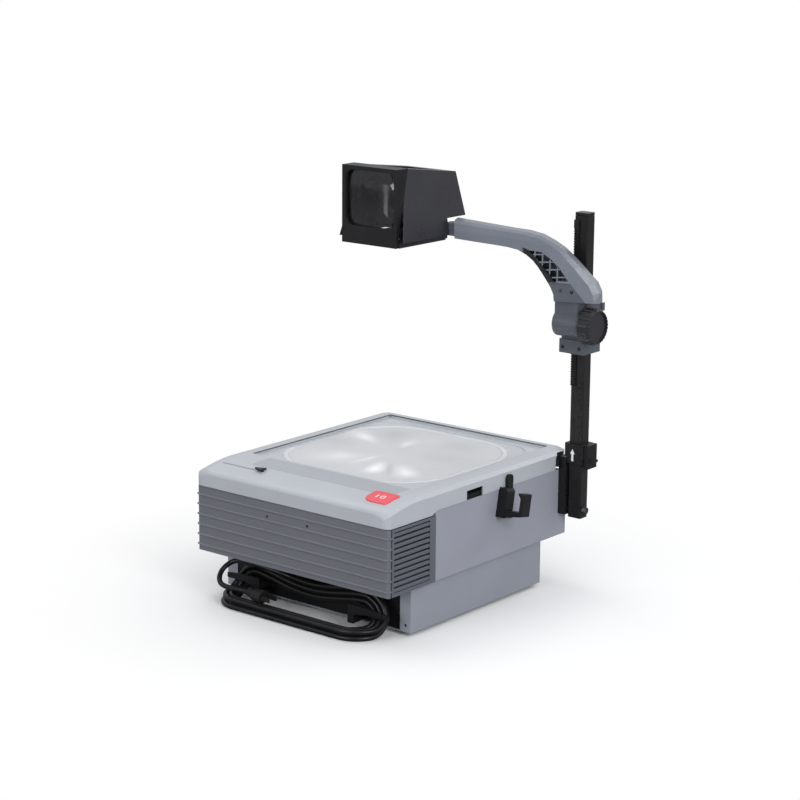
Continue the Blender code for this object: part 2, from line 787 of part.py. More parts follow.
def build_pedestal():
    shell = part("pedestal_shell", box_mesh((-PED_X, PED_FRONT, FOOT_HEIGHT), (PED_X, PED_REAR, HOUSING_BOTTOM - GAP)),
                 "base_grey", FRAME)
    cut(shell, box_mesh((-PED_X + SHEET, PED_FRONT + SHEET, FOOT_HEIGHT + SHEET),
                        (PED_X - SHEET, PED_REAR - SHEET, HOUSING_BOTTOM + OVERRUN)))
    opening = PED_X - PED_RETURN
    cut(shell, box_mesh((-opening, PED_FRONT - OVERRUN, FOOT_HEIGHT + SHEET),
                        (opening, PED_FRONT + OVERRUN, HOUSING_BOTTOM + OVERRUN)))
    cut(shell, rod_mesh(PED_HOLE_RADIUS, PED_FRONT - OVERRUN, PED_FRONT + OVERRUN, "Y",
                        (PED_X - PED_RETURN / 2, PED_HOLE_Z), COARSE))
    panel_y = PED_FRONT + SHEET + GAP
    panel = part("pedestal_front_panel",
                 box_mesh((-PED_X + SHEET + GAP, panel_y, FOOT_HEIGHT + SHEET + GAP),
                          (PED_X - SHEET - GAP, panel_y + SHEET, HOUSING_BOTTOM - GAP)), "plastic_black", FRAME)
    cut(panel, box_mesh((PED_PANEL_SLOT_X, panel_y - OVERRUN, PED_PANEL_SLOT_Z),
                        (PED_PANEL_SLOT_X + PED_PANEL_SLOT_LENGTH, panel_y + OVERRUN,
                         PED_PANEL_SLOT_Z + PED_PANEL_SLOT_HEIGHT)))
    cut(panel, rod_mesh(RELIEF_RADIUS / 2, panel_y - OVERRUN, panel_y + OVERRUN, "Y",
                        (RELIEF_BOX_X + RELIEF_BOX_LENGTH / 2, RELIEF_Z), COARSE))
    names = iter(("foot_front_left", "foot_front_right", "foot_rear_left", "foot_rear_right"))
    for y in (PED_FRONT + FOOT_INSET, PED_REAR - FOOT_INSET):
        for x in (-PED_X + FOOT_INSET, PED_X - FOOT_INSET):
            mesh = cone_mesh(FOOT_RADIUS - FOOT_HEIGHT / 4, FOOT_RADIUS, 0, FOOT_HEIGHT - GAP, "Z", (x, y), COARSE)
            part(next(names), mesh, "rubber_black", FRAME, smooth=True)
    return panel_y


def side_plate(name, side):
    outline = rounded(SIDE_FRONT, HOUSING_REAR, SIDE_BOTTOM, COVER_STEP_Z - 2 * GAP, (0, 0, 0, SIDE_CORNER))
    inner = HOUSING_X + GAP
    mesh = outline_mesh(outline, min(side * inner, side * (inner + SKIN)), max(side * inner, side * (inner + SKIN)), "X")
    plate = part(name, mesh, "side_grey", FRAME)
    if side > 0:
        cut(plate, rod_mesh(LEVER_PIN_RADIUS + GAP, inner - OVERRUN, inner + OVERRUN, "X", (LEVER_Y, LEVER_PIVOT_Z),
                            COARSE))
    return plate


def louvre(name, side):
    inner = HOUSING_X + GAP
    outer = inner + LOUVRE_THICK
    top = PANEL_TOP - GAP
    span = sorted((side * inner, side * outer))
    frame = part(name, box_mesh((span[0], LOUVRE_FRONT, SIDE_BOTTOM), (span[1], SIDE_FRONT - 2 * GAP, top)),
                 "front_grey", FRAME)
    low_z = SIDE_BOTTOM + LOUVRE_LIP
    high_z = top - LOUVRE_MARGIN
    low_y = LOUVRE_FRONT + LOUVRE_MARGIN
    high_y = SIDE_FRONT - LOUVRE_REAR_MARGIN
    cut(frame, box_mesh((span[0] - OVERRUN, low_y, low_z), (span[1] + OVERRUN, high_y, high_z)))
    pitch = (high_z - low_z) / SLAT_COUNT
    slats = []
    for k in range(SLAT_COUNT):
        base = low_z + pitch * (k + 0.5) - SLAT_THICK / 2
        inset = GAP
        outline = ((side * (outer - inset), base - SLAT_FALL / 2), (side * (inner + inset), base + SLAT_FALL / 2),
                   (side * (inner + inset), base + SLAT_FALL / 2 + SLAT_THICK),
                   (side * (outer - inset), base - SLAT_FALL / 2 + SLAT_THICK))
        slats.append(outline_mesh(outline, low_y - inset, high_y + inset, "Y"))
    return join(frame, merged(slats))


def panel_ring(proud, z):
    """The front panel's plan at one height: the front with two short returns, its outer side proud by some amount."""
    half = HOUSING_X + GAP + PANEL_WALL - GAP
    rear = LOUVRE_FRONT - 2 * GAP
    radius = PANEL_CORNER
    outer = []
    for side in (-1, 1):
        arc = []
        for k in range(4):
            turn = math.radians(30 * k)
            x = half - radius + (radius + proud) * math.cos(turn)
            y = PANEL_FRONT + radius - (radius + proud) * math.sin(turn)
            arc.append((side * x, y, z))
        outer += arc[::-1] if side > 0 else arc
    inner_half = HOUSING_X + GAP
    inner_front = HOUSING_FRONT - GAP
    left = [(-half - proud, rear, z)]
    right = [(half + proud, rear, z)]
    inner = [(inner_half, rear, z), (inner_half, inner_front, z), (-inner_half, inner_front, z), (-inner_half, rear, z)]
    return left + outer + right + inner


def build_front_panel():
    rings = [panel_ring(0, PANEL_BOTTOM)]
    for k in range(RIB_COUNT):
        middle = RIB_FIRST + RIB_PITCH * k
        tip = RIB_HEIGHT * RIB_TIP_SHARE / 2
        rings += [panel_ring(0, middle - RIB_HEIGHT / 2), panel_ring(RIB_PROUD, middle - tip),
                  panel_ring(RIB_PROUD, middle + tip), panel_ring(0, middle + RIB_HEIGHT / 2)]
    rings.append(panel_ring(0, PANEL_TOP))
    panel = part("front_panel", loft_mesh(rings), "front_grey", FRAME)
    for x in PIN_HOLES_X:
        cut(panel, rod_mesh(PIN_HOLE_RADIUS, PANEL_FRONT - OVERRUN, HOUSING_FRONT + OVERRUN, "Y", (x, PIN_HOLE_Z),
                            COARSE // 2))
    return panel


def build_housing():
    tub = part("housing_tub", box_mesh((-HOUSING_X, HOUSING_FRONT, HOUSING_BOTTOM), (HOUSING_X, HOUSING_REAR, HOUSING_TOP)),
               "side_grey", FRAME)
    cut(tub, box_mesh((-HOUSING_X + SHEET, HOUSING_FRONT - OVERRUN, HOUSING_BOTTOM + SHEET),
                      (HOUSING_X - SHEET, HOUSING_REAR - SHEET, HOUSING_TOP + OVERRUN)))
    window_y = (LOUVRE_FRONT + LOUVRE_MARGIN, SIDE_FRONT - LOUVRE_REAR_MARGIN)
    window_z = (SIDE_BOTTOM + LOUVRE_LIP, PANEL_TOP - GAP - LOUVRE_MARGIN)
    cut(tub, box_mesh((-HOUSING_X - OVERRUN, window_y[0], window_z[0]), (HOUSING_X + OVERRUN, window_y[1], window_z[1])))
    slots = []
    for k in range(VENT_SLOTS):
        x = FAN_CENTRE_X + VENT_PITCH / 2 * (2 * k - VENT_SLOTS + 1)
        slots.append(box_mesh((x - VENT_SLOT_WIDTH / 2, HOUSING_REAR - OVERRUN, FAN_CENTRE_Z - VENT_SLOT_HEIGHT / 2),
                              (x + VENT_SLOT_WIDTH / 2, HOUSING_REAR + OVERRUN, FAN_CENTRE_Z + VENT_SLOT_HEIGHT / 2)))
    cut(tub, merged(slots))
    cut(tub, rod_mesh(LEVER_PIN_RADIUS + GAP, HOUSING_X - OVERRUN, HOUSING_X + OVERRUN, "X", (LEVER_Y, LEVER_PIVOT_Z),
                      COARSE))
    return tub


def surface_z(y):
    """Height of the cover's top face at a depth: flat behind the crest, falling to the front in a soft curve."""
    if y >= COVER_CREST_Y:
        return COVER_TOP
    along = (COVER_CREST_Y - y) / (COVER_CREST_Y - COVER_FRONT)
    return COVER_TOP - (COVER_TOP - COVER_NOSE) * (COVER_SOFT_SHARE * along ** 2 + (1 - COVER_SOFT_SHARE) * along)


def cover_section(y, half, drop, inset):
    top = surface_z(y) - drop - inset
    shoulder = top - COVER_BEVEL_Z
    bottom = COVER_BOTTOM - (OVERRUN if inset else 0)
    wide = half - inset
    middle = wide - COVER_BEVEL_X * BEVEL_BULGE_SHARE
    return [(-wide, y, bottom), (-wide, y, shoulder), (-middle, y, shoulder + COVER_BEVEL_Z * (1 - BEVEL_BULGE_SHARE)),
            (-wide + COVER_BEVEL_X, y, top), (wide - COVER_BEVEL_X, y, top),
            (middle, y, shoulder + COVER_BEVEL_Z * (1 - BEVEL_BULGE_SHARE)), (wide, y, shoulder), (wide, y, bottom)]


def cover_mesh(inset):
    """The cover as a row of sections from front to rear; the plan corners and the top edge round off together."""
    sections = []
    for front in (True, False):
        row = []
        edge = COVER_CORNER if front else COVER_REAR_CORNER
        fall = COVER_NOSE_ROUND if front else COVER_REAR_ROUND
        for k in range(5):
            turn = math.radians(90 * k / 4)
            narrow = edge * (1 - math.sin(turn))
            back = edge * (1 - math.cos(turn))
            drop = fall * (1 - math.sin(turn))
            y = COVER_FRONT + inset + back if front else COVER_REAR - inset - back
            row.append(cover_section(y, COVER_X - narrow, drop, inset))
        sections += row if front else row[::-1]
        if front:
            start = COVER_FRONT + inset + edge
            for k in range(1, 5):
                sections.append(cover_section(blend(k / 4, start, COVER_CREST_Y), COVER_X, 0, inset))
    return loft_mesh(sections)


def d_outline(grow):
    left, right = BUTTON_LEFT - grow, BUTTON_RIGHT + grow
    front, rear = BUTTON_FRONT - grow, BUTTON_REAR + grow
    return rounded(left, right, front, rear, (BUTTON_ROUND + grow, BUTTON_CORNER, BUTTON_CORNER, BUTTON_CORNER))


def build_cover():
    cover = part("top_cover", cover_mesh(0), "cover_grey", LID)
    cut(cover, cover_mesh(COVER_WALL))
    glass = (GLASS_X / 2 + GAP, GLASS_Y / 2 + GAP)
    cut(cover, outline_mesh(rounded(-glass[0], glass[0], GLASS_CENTRE_Y - glass[1], GLASS_CENTRE_Y + glass[1],
                                    GLASS_CORNER, 2), COVER_SHOULDER, COVER_TOP + OVERRUN, "Z"))
    cut(cover, outline_mesh(d_outline(GAP), COVER_BOTTOM, COVER_TOP, "Z"))
    cut(cover, box_mesh((SLOT_LEFT, SLOT_Y - SLOT_WIDTH / 2, COVER_BOTTOM), (SLOT_RIGHT, SLOT_Y + SLOT_WIDTH / 2, COVER_TOP)))
    reach = COVER_X + OVERRUN
    step = ((COVER_STEP_Y - COVER_STEP_SLANT, COVER_BOTTOM - OVERRUN), (MAST_CUT_FRONT + OVERRUN, COVER_BOTTOM - OVERRUN),
            (MAST_CUT_FRONT + OVERRUN, COVER_STEP_Z), (COVER_STEP_Y + COVER_STEP_SLANT, COVER_STEP_Z),
            (COVER_STEP_Y - COVER_STEP_SLANT, COVER_BOTTOM))
    inner = COVER_X - 2 * COVER_WALL
    left_step = [(HOUSING_REAR + 2 * GAP if y > 0 else y, z) for y, z in step]
    cut(cover, outline_mesh(step, inner, reach, "X"), outline_mesh(left_step, -reach, -inner, "X"))
    cut(cover, box_mesh((inner, NOTCH_FRONT, COVER_BOTTOM), (reach, NOTCH_REAR, NOTCH_TOP)))
    bracket = outline_mesh(rounded(MAST_CUT_FRONT, COVER_REAR + OVERRUN, COVER_BOTTOM - OVERRUN, MAST_CUT_TOP,
                                   (0, 0, 0, BRACKET_ROUND)), COVER_X - MAST_CUT_DEPTH, reach, "X")
    cut(cover, bracket)
    return cover


def fresnel_mesh():
    """A round lens with saw-tooth zones on its upper side, every zone as deep and as wide as the next."""
    reach = LENS_ROUND / 2 + GAP
    zone = reach / LENS_ZONES
    top = LENS_THICK
    profile = [(0, top)]
    for k in range(1, LENS_ZONES):
        profile += [(zone * k, top - LENS_GROOVE), (zone * k + zone * ZONE_RISE_SHARE, top)]
    profile += [(reach, top - LENS_GROOVE), (reach, 0), (0, 0)]
    return turned_mesh(profile, LENS_STEPS)


def build_stage():
    x, y, middle = GLASS_X / 2, GLASS_Y / 2, GLASS_CENTRE_Y
    low = GLASS_TOP - GLASS_THICK
    part("stage_glass", outline_mesh(rounded(-x, x, middle - y, middle + y, GLASS_CORNER, 2), low, GLASS_TOP, "Z"),
         "glass_clear", LID)
    lens_low = low - GAP - LENS_DOWN - LENS_THICK
    half = LENS_SIDE / 2
    lens = fresnel_mesh()
    lens.transform(Matrix.Translation((0, middle, lens_low)))
    lens = part("fresnel_lens", lens, "lens_clear", LID, smooth=True)
    boolean(lens, outline_mesh(rounded(-half, half, middle - half, middle + half, LENS_SQUARE_CORNER, 5),
                                      lens_low - OVERRUN, low, "Z"), "INTERSECT")
    frame_low = lens_low - GAP - FRAME_FLOOR
    frame_top = COVER_TOP - COVER_WALL - GAP
    wide = (x + FRAME_MARGIN, y + FRAME_MARGIN)
    frame = part("lens_frame", box_mesh((-wide[0], middle - wide[1], frame_low), (wide[0], middle + wide[1], frame_top)),
                 "plastic_black", LID)
    cut(frame, box_mesh((-x - GAP, middle - y - GAP, low - GAP), (x + GAP, middle + y + GAP, frame_top + OVERRUN)))
    seat = half + GAP
    cut(frame, outline_mesh(rounded(-seat, seat, middle - seat, middle + seat, LENS_SQUARE_CORNER, 5),
                            lens_low - GAP, frame_top, "Z"))
    hole = half - FRAME_LIP
    cut(frame, outline_mesh(rounded(-hole, hole, middle - hole, middle + hole, LENS_SQUARE_CORNER, 5),
                            frame_low - OVERRUN, frame_top, "Z"))
    return frame_low, wide


def build_front_strip(frame_low, wide):
    tilt = [surface_z(BUTTON_FRONT) + BUTTON_PROUD, surface_z(BUTTON_REAR) + BUTTON_PROUD]
    outline = d_outline(0)
    base = COVER_SHOULDER - BUTTON_BODY / 2
    low = [(u, v, base) for u, v in outline]
    high = [(u, v, blend((v - BUTTON_FRONT) / (BUTTON_REAR - BUTTON_FRONT), *tilt)) for u, v in outline]
    inset = BUTTON_CORNER / 4
    middle = ((BUTTON_LEFT + BUTTON_RIGHT) / 2, (BUTTON_FRONT + BUTTON_REAR) / 2)
    share = 1 - inset / (BUTTON_RIGHT - middle[0])
    crown = [(middle[0] + (u - middle[0]) * share, middle[1] + (v - middle[1]) * share, z + inset / 2)
             for u, v, z in high]
    part("power_button", loft_mesh([low, high, crown]), "button_red", LID)
    body_top = base - GAP - BUTTON_TRAVEL
    rear = GLASS_CENTRE_Y - wide[1] - GAP
    body = part("power_switch", box_mesh((BUTTON_LEFT + BUTTON_CORNER, BUTTON_FRONT + BUTTON_CORNER, body_top - BUTTON_BODY),
                                         (BUTTON_RIGHT - BUTTON_CORNER, BUTTON_REAR - BUTTON_CORNER, body_top)),
                "plastic_black", LID)
    cheek = (BUTTON_RIGHT + 2 * GAP, BUTTON_RIGHT + 2 * GAP + COVER_WALL)
    arm = box_mesh((BUTTON_LEFT + BUTTON_CORNER * 2, BUTTON_REAR - BUTTON_CORNER * 2, body_top - BUTTON_BODY + GAP),
                   (BUTTON_RIGHT - BUTTON_CORNER * 2, rear, body_top - BUTTON_BODY / 2))
    join(body, arm)
    spread = cheek[1] - cheek[0]
    hanger = box_mesh((BUTTON_LEFT + BUTTON_CORNER * 2, rear - spread, body_top - BUTTON_BODY + 2 * GAP),
                      (BUTTON_RIGHT - BUTTON_CORNER * 2, rear, COVER_TOP - COVER_WALL - BUTTON_PROUD))
    join(body, hanger)

    tip = SLOT_RIGHT - GAP
    floor = surface_z(SLOT_Y + POINTER_LENGTH / 2) + POINTER_LIFT
    plan = ((tip, SLOT_Y + POINTER_LENGTH / 2), (tip - POINTER_WIDTH, SLOT_Y), (tip, SLOT_Y - POINTER_LENGTH / 2))
    slider = part("changer_slider", outline_mesh(plan, floor, floor + POINTER_HEIGHT, "Z"), "plastic_black", LID)
    stem = SLOT_WIDTH / 2 - GAP
    fork_z = HOUSING_TOP
    join(slider, box_mesh((tip - POINTER_WIDTH / 2, SLOT_Y - stem, fork_z + FORK_DEPTH),
                          (tip - GAP, SLOT_Y + stem, floor + POINTER_HEIGHT / 2)))
    crosspiece = box_mesh((tip - POINTER_WIDTH, SLOT_Y - FORK_WIDTH / 2, fork_z + FORK_DEPTH - GAP),
                          (tip + POINTER_WIDTH / 2, SLOT_Y + FORK_WIDTH / 2, fork_z + 2 * FORK_DEPTH))
    join(slider, crosspiece)
    prongs = [box_mesh((tip - POINTER_WIDTH, SLOT_Y - FORK_WIDTH / 2, fork_z),
                       (tip - POINTER_WIDTH + FORK_THICK, SLOT_Y + FORK_WIDTH / 2, fork_z + FORK_DEPTH + GAP)),
              box_mesh((tip + POINTER_WIDTH / 2 - FORK_THICK, SLOT_Y - FORK_WIDTH / 2, fork_z),
                       (tip + POINTER_WIDTH / 2, SLOT_Y + FORK_WIDTH / 2, fork_z + FORK_DEPTH + GAP))]
    join(slider, merged(prongs))
    return tip


def build_lid_hinge(cover):
    """The cover's two knuckles turn on a rod outside the left wall, which is held by lugs at both ends of each knuckle."""
    half = HINGE_KNUCKLE_LENGTH / 2
    corner = HINGE_KNUCKLE * math.sqrt(0.5)
    root = GAP * 2 - COVER_X
    low, high = COVER_STEP_Z + HINGE_ROOT_RISE, COVER_STEP_Z + HINGE_ROOT_RISE + HINGE_KNUCKLE
    arms = []
    for y in HINGE_PLACES:
        outline = ((HINGE_X - HINGE_KNUCKLE, HINGE_Z), (HINGE_X - corner, HINGE_Z - corner),
                   (HINGE_X, HINGE_Z - HINGE_KNUCKLE), (HINGE_X + corner, HINGE_Z - corner),
                   (HINGE_X + HINGE_KNUCKLE, HINGE_Z), (HINGE_X + HINGE_KNUCKLE, low), (root, low), (root, high),
                   (HINGE_X - corner, high), (HINGE_X - HINGE_KNUCKLE, COVER_STEP_Z))
        hole = ring(HINGE_RADIUS + GAP, HINGE_X, HINGE_Z, COARSE)
        arms.append(outline_mesh(outline, y - half, y + half, "Y", (hole,)))
    join(cover, merged(arms))
    reach = half + HINGE_LUG
    rod = part("lid_hinge_rod", rod_mesh(HINGE_RADIUS, HINGE_PLACES[0] - reach, HINGE_PLACES[1] + reach, "Y",
                                         (HINGE_X, HINGE_Z), COARSE), "steel_bright", FRAME, smooth=True)
    lugs = []
    for y in HINGE_PLACES:
        for side in (-1, 1):
            start = y + side * (half + RUN)
            end = start + side * (HINGE_LUG - RUN)
            lugs.append(box_mesh((HINGE_X - HINGE_KNUCKLE, min(start, end), HINGE_Z - HINGE_KNUCKLE),
                                 (-SIDE_FACE_X - GAP, max(start, end), HINGE_Z + HINGE_KNUCKLE)))
    join(rod, merged(lugs))


def build_inside():
    floor = HOUSING_BOTTOM + SHEET + GAP
    cx, cy = TRAFO_CENTRE
    trafo = part("transformer_core", box_mesh((cx - TRAFO_X / 2, cy - TRAFO_Y / 4, floor),
                                              (cx + TRAFO_X / 2, cy + TRAFO_Y / 4, floor + TRAFO_Z)), "steel_plain", FRAME)
    gap = TRAFO_X * TRAFO_WINDOW_SHARE
    cut(trafo, box_mesh((cx - TRAFO_X / 2 + gap, cy - TRAFO_Y, floor + gap),
                        (cx + TRAFO_X / 2 - gap, cy + TRAFO_Y, floor + TRAFO_Z - gap)))
    coil = gap + GAP
    wound = part("transformer_coil",
                 outline_mesh(rounded(cx - TRAFO_X / 2 + coil, cx + TRAFO_X / 2 - coil, floor + coil,
                                      floor + TRAFO_Z - coil, gap / 4, 2), cy - TRAFO_Y / 2, cy + TRAFO_Y / 2, "Y"),
                 "copper_brown", FRAME)
    soften(wound, gap / 8)
    rear = HOUSING_REAR - SHEET - GAP
    r, x, z = FAN_RADIUS, FAN_CENTRE_X, FAN_CENTRE_Z
    side = r + FAN_WALL
    shroud = part("fan_shroud", box_mesh((x - side, rear - FAN_DEPTH, z - side), (x + side, rear, z + side)),
                  "plastic_black", FRAME)
    cut(shroud, rod_mesh(r, rear - FAN_DEPTH - OVERRUN, rear + OVERRUN, "Y", (x, z), ROUND))
    motor_front = rear - FAN_DEPTH - GAP - FAN_MOTOR_LENGTH
    motor = part("fan_motor", rod_mesh(FAN_HUB_RADIUS * 1.4, motor_front, rear - FAN_DEPTH - GAP, "Y", (x, z), ROUND),
                 "steel_plain", FRAME, smooth=False)
    arm = FAN_WALL * 2
    join(motor, box_mesh((x - side, rear - FAN_DEPTH - GAP - arm, z - arm / 2), (x + side, rear - FAN_DEPTH - GAP, z + arm / 2)))
    blade_low = rear - FAN_DEPTH + GAP + RUN
    hub = part("fan_rotor", rod_mesh(FAN_HUB_RADIUS, blade_low, rear - FAN_WALL, "Y", (x, z), ROUND), "plastic_black",
               FRAME, (x, (blade_low + rear) / 2, z))
    blades = []
    depth = (rear - FAN_WALL - blade_low) / 2
    for k in range(FAN_BLADES):
        blade = box_mesh((FAN_HUB_RADIUS * 0.9, -depth * 0.8, -FAN_BLADE_THICK / 2),
                         (r - 2 * RUN, depth * 0.8, FAN_BLADE_THICK / 2))
        blade.transform(Matrix.Rotation(math.radians(FAN_PITCH_DEG), 4, "X"))
        blade.transform(Matrix.Rotation(2 * math.pi * k / FAN_BLADES, 4, "Y"))
        blade.transform(Matrix.Translation((x, blade_low + depth, z)))
        blades.append(blade)
    join(hub, merged(blades))


def build_lamp_house(tip):
    floor = HOUSING_BOTTOM + SHEET + GAP
    y = GLASS_CENTRE_Y
    half = RAIL_LENGTH / 2
    rail_top = floor + RAIL_HEIGHT / 2
    rail = part("lamp_rail", box_mesh((-half, y - RAIL_WIDTH / 2, floor), (half - LAMP_PITCH / 2, y + RAIL_WIDTH / 2, rail_top)),
                "steel_bright", FRAME)
    bar_low = rail_top + GAP
    bar_top = bar_low + SHEET * 2
    post = (tip - POINTER_WIDTH / 4 - FORK_THICK, tip - POINTER_WIDTH / 4 + FORK_THICK)
    carriage = part("lamp_carriage", box_mesh((post[0], y - LAMP_BASE_RADIUS * 2, bar_low),
                                              (LAMP_PITCH + LAMP_BASE_RADIUS * 2, y + LAMP_BASE_RADIUS * 2, bar_top)),
                    "steel_plain", FRAME)
    join(carriage, box_mesh((post[0], SLOT_Y - FORK_THICK, bar_low + GAP), (post[1] + FORK_WIDTH, y, bar_top - GAP)))
    join(carriage, box_mesh((post[0], SLOT_Y - FORK_THICK / 2, bar_low + 2 * GAP),
                            (post[1], SLOT_Y + FORK_THICK / 2, HOUSING_TOP + FORK_DEPTH - RUN)))
    lip = RAIL_WIDTH / 2 + RUN
    join(carriage, merged([box_mesh((-LAMP_PITCH / 2, y + s * lip - (SHEET if s < 0 else 0), floor + RUN),
                                    (LAMP_PITCH / 2, y + s * lip + (SHEET if s > 0 else 0), bar_low + GAP))
                           for s in (-1, 1)]))
    for name, x in (("main", 0), ("spare", LAMP_PITCH)):
        base = bar_top + GAP
        lamp = part("lamp_" + name, rod_mesh(LAMP_BASE_RADIUS, base, base + LAMP_BASE_LENGTH, "Z", (x, y), COARSE),
                    "ceramic_white", FRAME)
        bulb_top = base + LAMP_BASE_LENGTH + LAMP_BULB_LENGTH
        join(lamp, cone_mesh(LAMP_BULB_RADIUS, LAMP_BULB_RADIUS * 0.8, base + LAMP_BASE_LENGTH - GAP, bulb_top, "Z", (x, y), COARSE))
        dish = [(REFLECTOR_HOLE / 2 + 2 * GAP, 0)]
        for k in range(5):
            share = k / 4
            radius = blend(share, REFLECTOR_HOLE / 2 + REFLECTOR_WALL * 2, LAMP_PITCH / 2 - RUN)
            dish.append((radius, REFLECTOR_DEPTH * share ** 2))
        inner = [(r - REFLECTOR_WALL * 0.6, z + REFLECTOR_WALL) for r, z in dish[1:]][::-1]
        profile = dish[:1] + dish[1:] + inner + [(REFLECTOR_HOLE / 2 + 2 * GAP, REFLECTOR_WALL)]
        mesh = turned_mesh(profile + profile[:1], ROUND)
        mesh.transform(Matrix.Translation((x, y, base)))
        part("reflector_" + name, mesh, "mirror_silver", FRAME, smooth=True)
    plate_low = CONDENSER_Z - CONDENSER_THICK / 2 - SHEET * 2
    span = LAMP_PITCH + CONDENSER_RING
    foot = RAIL_WIDTH * 2.6
    outline = ((y - foot, floor), (y - foot + SHEET, floor), (y - foot + SHEET, plate_low), (y + foot - SHEET, plate_low),
               (y + foot - SHEET, floor), (y + foot, floor), (y + foot, plate_low + SHEET * 2), (y - foot, plate_low + SHEET * 2))
    foot_x = CONDENSER_RADIUS * 0.6
    bridge = part("condenser_bridge", box_mesh((-CONDENSER_RADIUS - CONDENSER_RING, y - foot, plate_low),
                                               (CONDENSER_RADIUS + CONDENSER_RING, y + foot, plate_low + SHEET * 2)),
                  "steel_plain", FRAME)
    cut(bridge, rod_mesh(CONDENSER_RADIUS - CONDENSER_RING, plate_low - OVERRUN, plate_low + OVERRUN, "Z", (0, y), ROUND))
    legs = [box_mesh((-foot_x, y + s * foot - (SHEET if s > 0 else 0), floor),
                     (foot_x, y + s * foot + (SHEET if s < 0 else 0), plate_low + SHEET)) for s in (-1, 1)]
    join(bridge, merged(legs))
    top = plate_low + SHEET * 2 + GAP
    profile = [(0, CONDENSER_THICK)]
    for k in range(1, 5):
        turn = math.radians(90 * k / 4)
        profile.append((CONDENSER_RADIUS * math.sin(turn), CONDENSER_THICK * (1 + 3 * math.cos(turn)) / 4))
    profile += [(CONDENSER_RADIUS, 0), (0, 0)]
    mesh = turned_mesh(profile, ROUND)
    mesh.transform(Matrix.Translation((0, y, top)))
    part("condenser_lens", mesh, "lens_clear", FRAME, smooth=True)
    return span, outline


def build_bracket():
    """A channel on the side wall that carries the mast's pivot bolt."""
    x0, x1, web = BRACKET_X0, BRACKET_OUT, BRACKET_WEB
    bracket = part("mast_bracket", outline_mesh(rounded(BRACKET_FRONT, BRACKET_REAR, BRACKET_BOTTOM, BRACKET_TOP,
                                                        (0, 0, BRACKET_ROUND, 0)), x0, x1, "X"), "mast_black", FRAME)
    cut(bracket, box_mesh((x0 + web, BRACKET_FRONT + web, BRACKET_BOTTOM - OVERRUN),
                          (x1 - web, BRACKET_REAR + OVERRUN, BRACKET_TOP - web)))
    cut(bracket, rod_mesh(PIVOT_RADIUS + GAP, x1 - web - OVERRUN / 4, x1 + OVERRUN, "X", (PIVOT_Y, PIVOT_Z), COARSE))
    bolt = part("pivot_bolt", rod_mesh(PIVOT_RADIUS, x0 + web + GAP, MAST_X1 + RUN + GAP, "X", (PIVOT_Y, PIVOT_Z), COARSE),
                "steel_plain", FRAME)
    head_low = MAST_X1 + RUN
    join(bolt, cone_mesh(BOLT_HEAD_RADIUS, BOLT_HEAD_RADIUS * 0.8, head_low, head_low + BOLT_HEAD_LENGTH, "X",
                         (PIVOT_Y, PIVOT_Z), 12))
    join(bolt, rod_mesh(BOLT_HEAD_RADIUS, x1 + GAP, MAST_X0 - RUN, "X", (PIVOT_Y, PIVOT_Z), COARSE))


def build_mast():
    top = MAST_TOP
    tube = part("mast_tube", outline_mesh(rounded(MAST_X0, MAST_X1, MAST_Y0, MAST_Y1, MAST_CORNER, 2), MAST_BOTTOM, top, "Z"),
                "mast_black", MAST)
    cut(tube, box_mesh((MAST_X0 + MAST_WALL, MAST_Y0 + MAST_WALL, MAST_BOTTOM - OVERRUN),
                       (MAST_X1 - MAST_WALL, MAST_Y1 - MAST_WALL, top + OVERRUN)))
    cut(tube, rod_mesh(PIVOT_RADIUS + GAP, MAST_X0 - OVERRUN, MAST_X1 + OVERRUN, "X", (PIVOT_Y, PIVOT_Z), COARSE))
    cap = part("mast_cap", outline_mesh(rounded(MAST_X0, MAST_X1, MAST_Y0, MAST_Y1, MAST_CORNER, 2), top + GAP,
                                        top + GAP + CAP_HEIGHT, "Z"), "plastic_black", MAST)
    plug = MAST_WALL + GAP
    join(cap, box_mesh((MAST_X0 + plug, MAST_Y0 + plug, top - CAP_PLUG), (MAST_X1 - plug, MAST_Y1 - plug, top + 2 * GAP)))
    teeth = round((RACK_TOP - RACK_BOTTOM) / RACK_PITCH)
    outline = [(MAST_Y0 - GAP, RACK_BOTTOM)]
    face = MAST_Y0 - GAP - RACK_BODY
    tip = face - RACK_TOOTH
    outline.append((face, RACK_BOTTOM))
    for k in range(teeth):
        low = RACK_BOTTOM + RACK_PITCH * k
        outline += [(face, low + RACK_PITCH * 0.2), (tip, low + RACK_PITCH * 0.4), (tip, low + RACK_PITCH * 0.6),
                    (face, low + RACK_PITCH * 0.8)]
    end = RACK_BOTTOM + RACK_PITCH * teeth
    outline += [(face, end), (tip, end + RACK_HEAD / 4), (tip, end + RACK_HEAD), (MAST_Y0 - GAP, end + RACK_HEAD)]
    part("mast_rack", outline_mesh(outline[::-1], RACK_X0, RACK_X0 + RACK_WIDTH, "X"), "plastic_black", MAST)


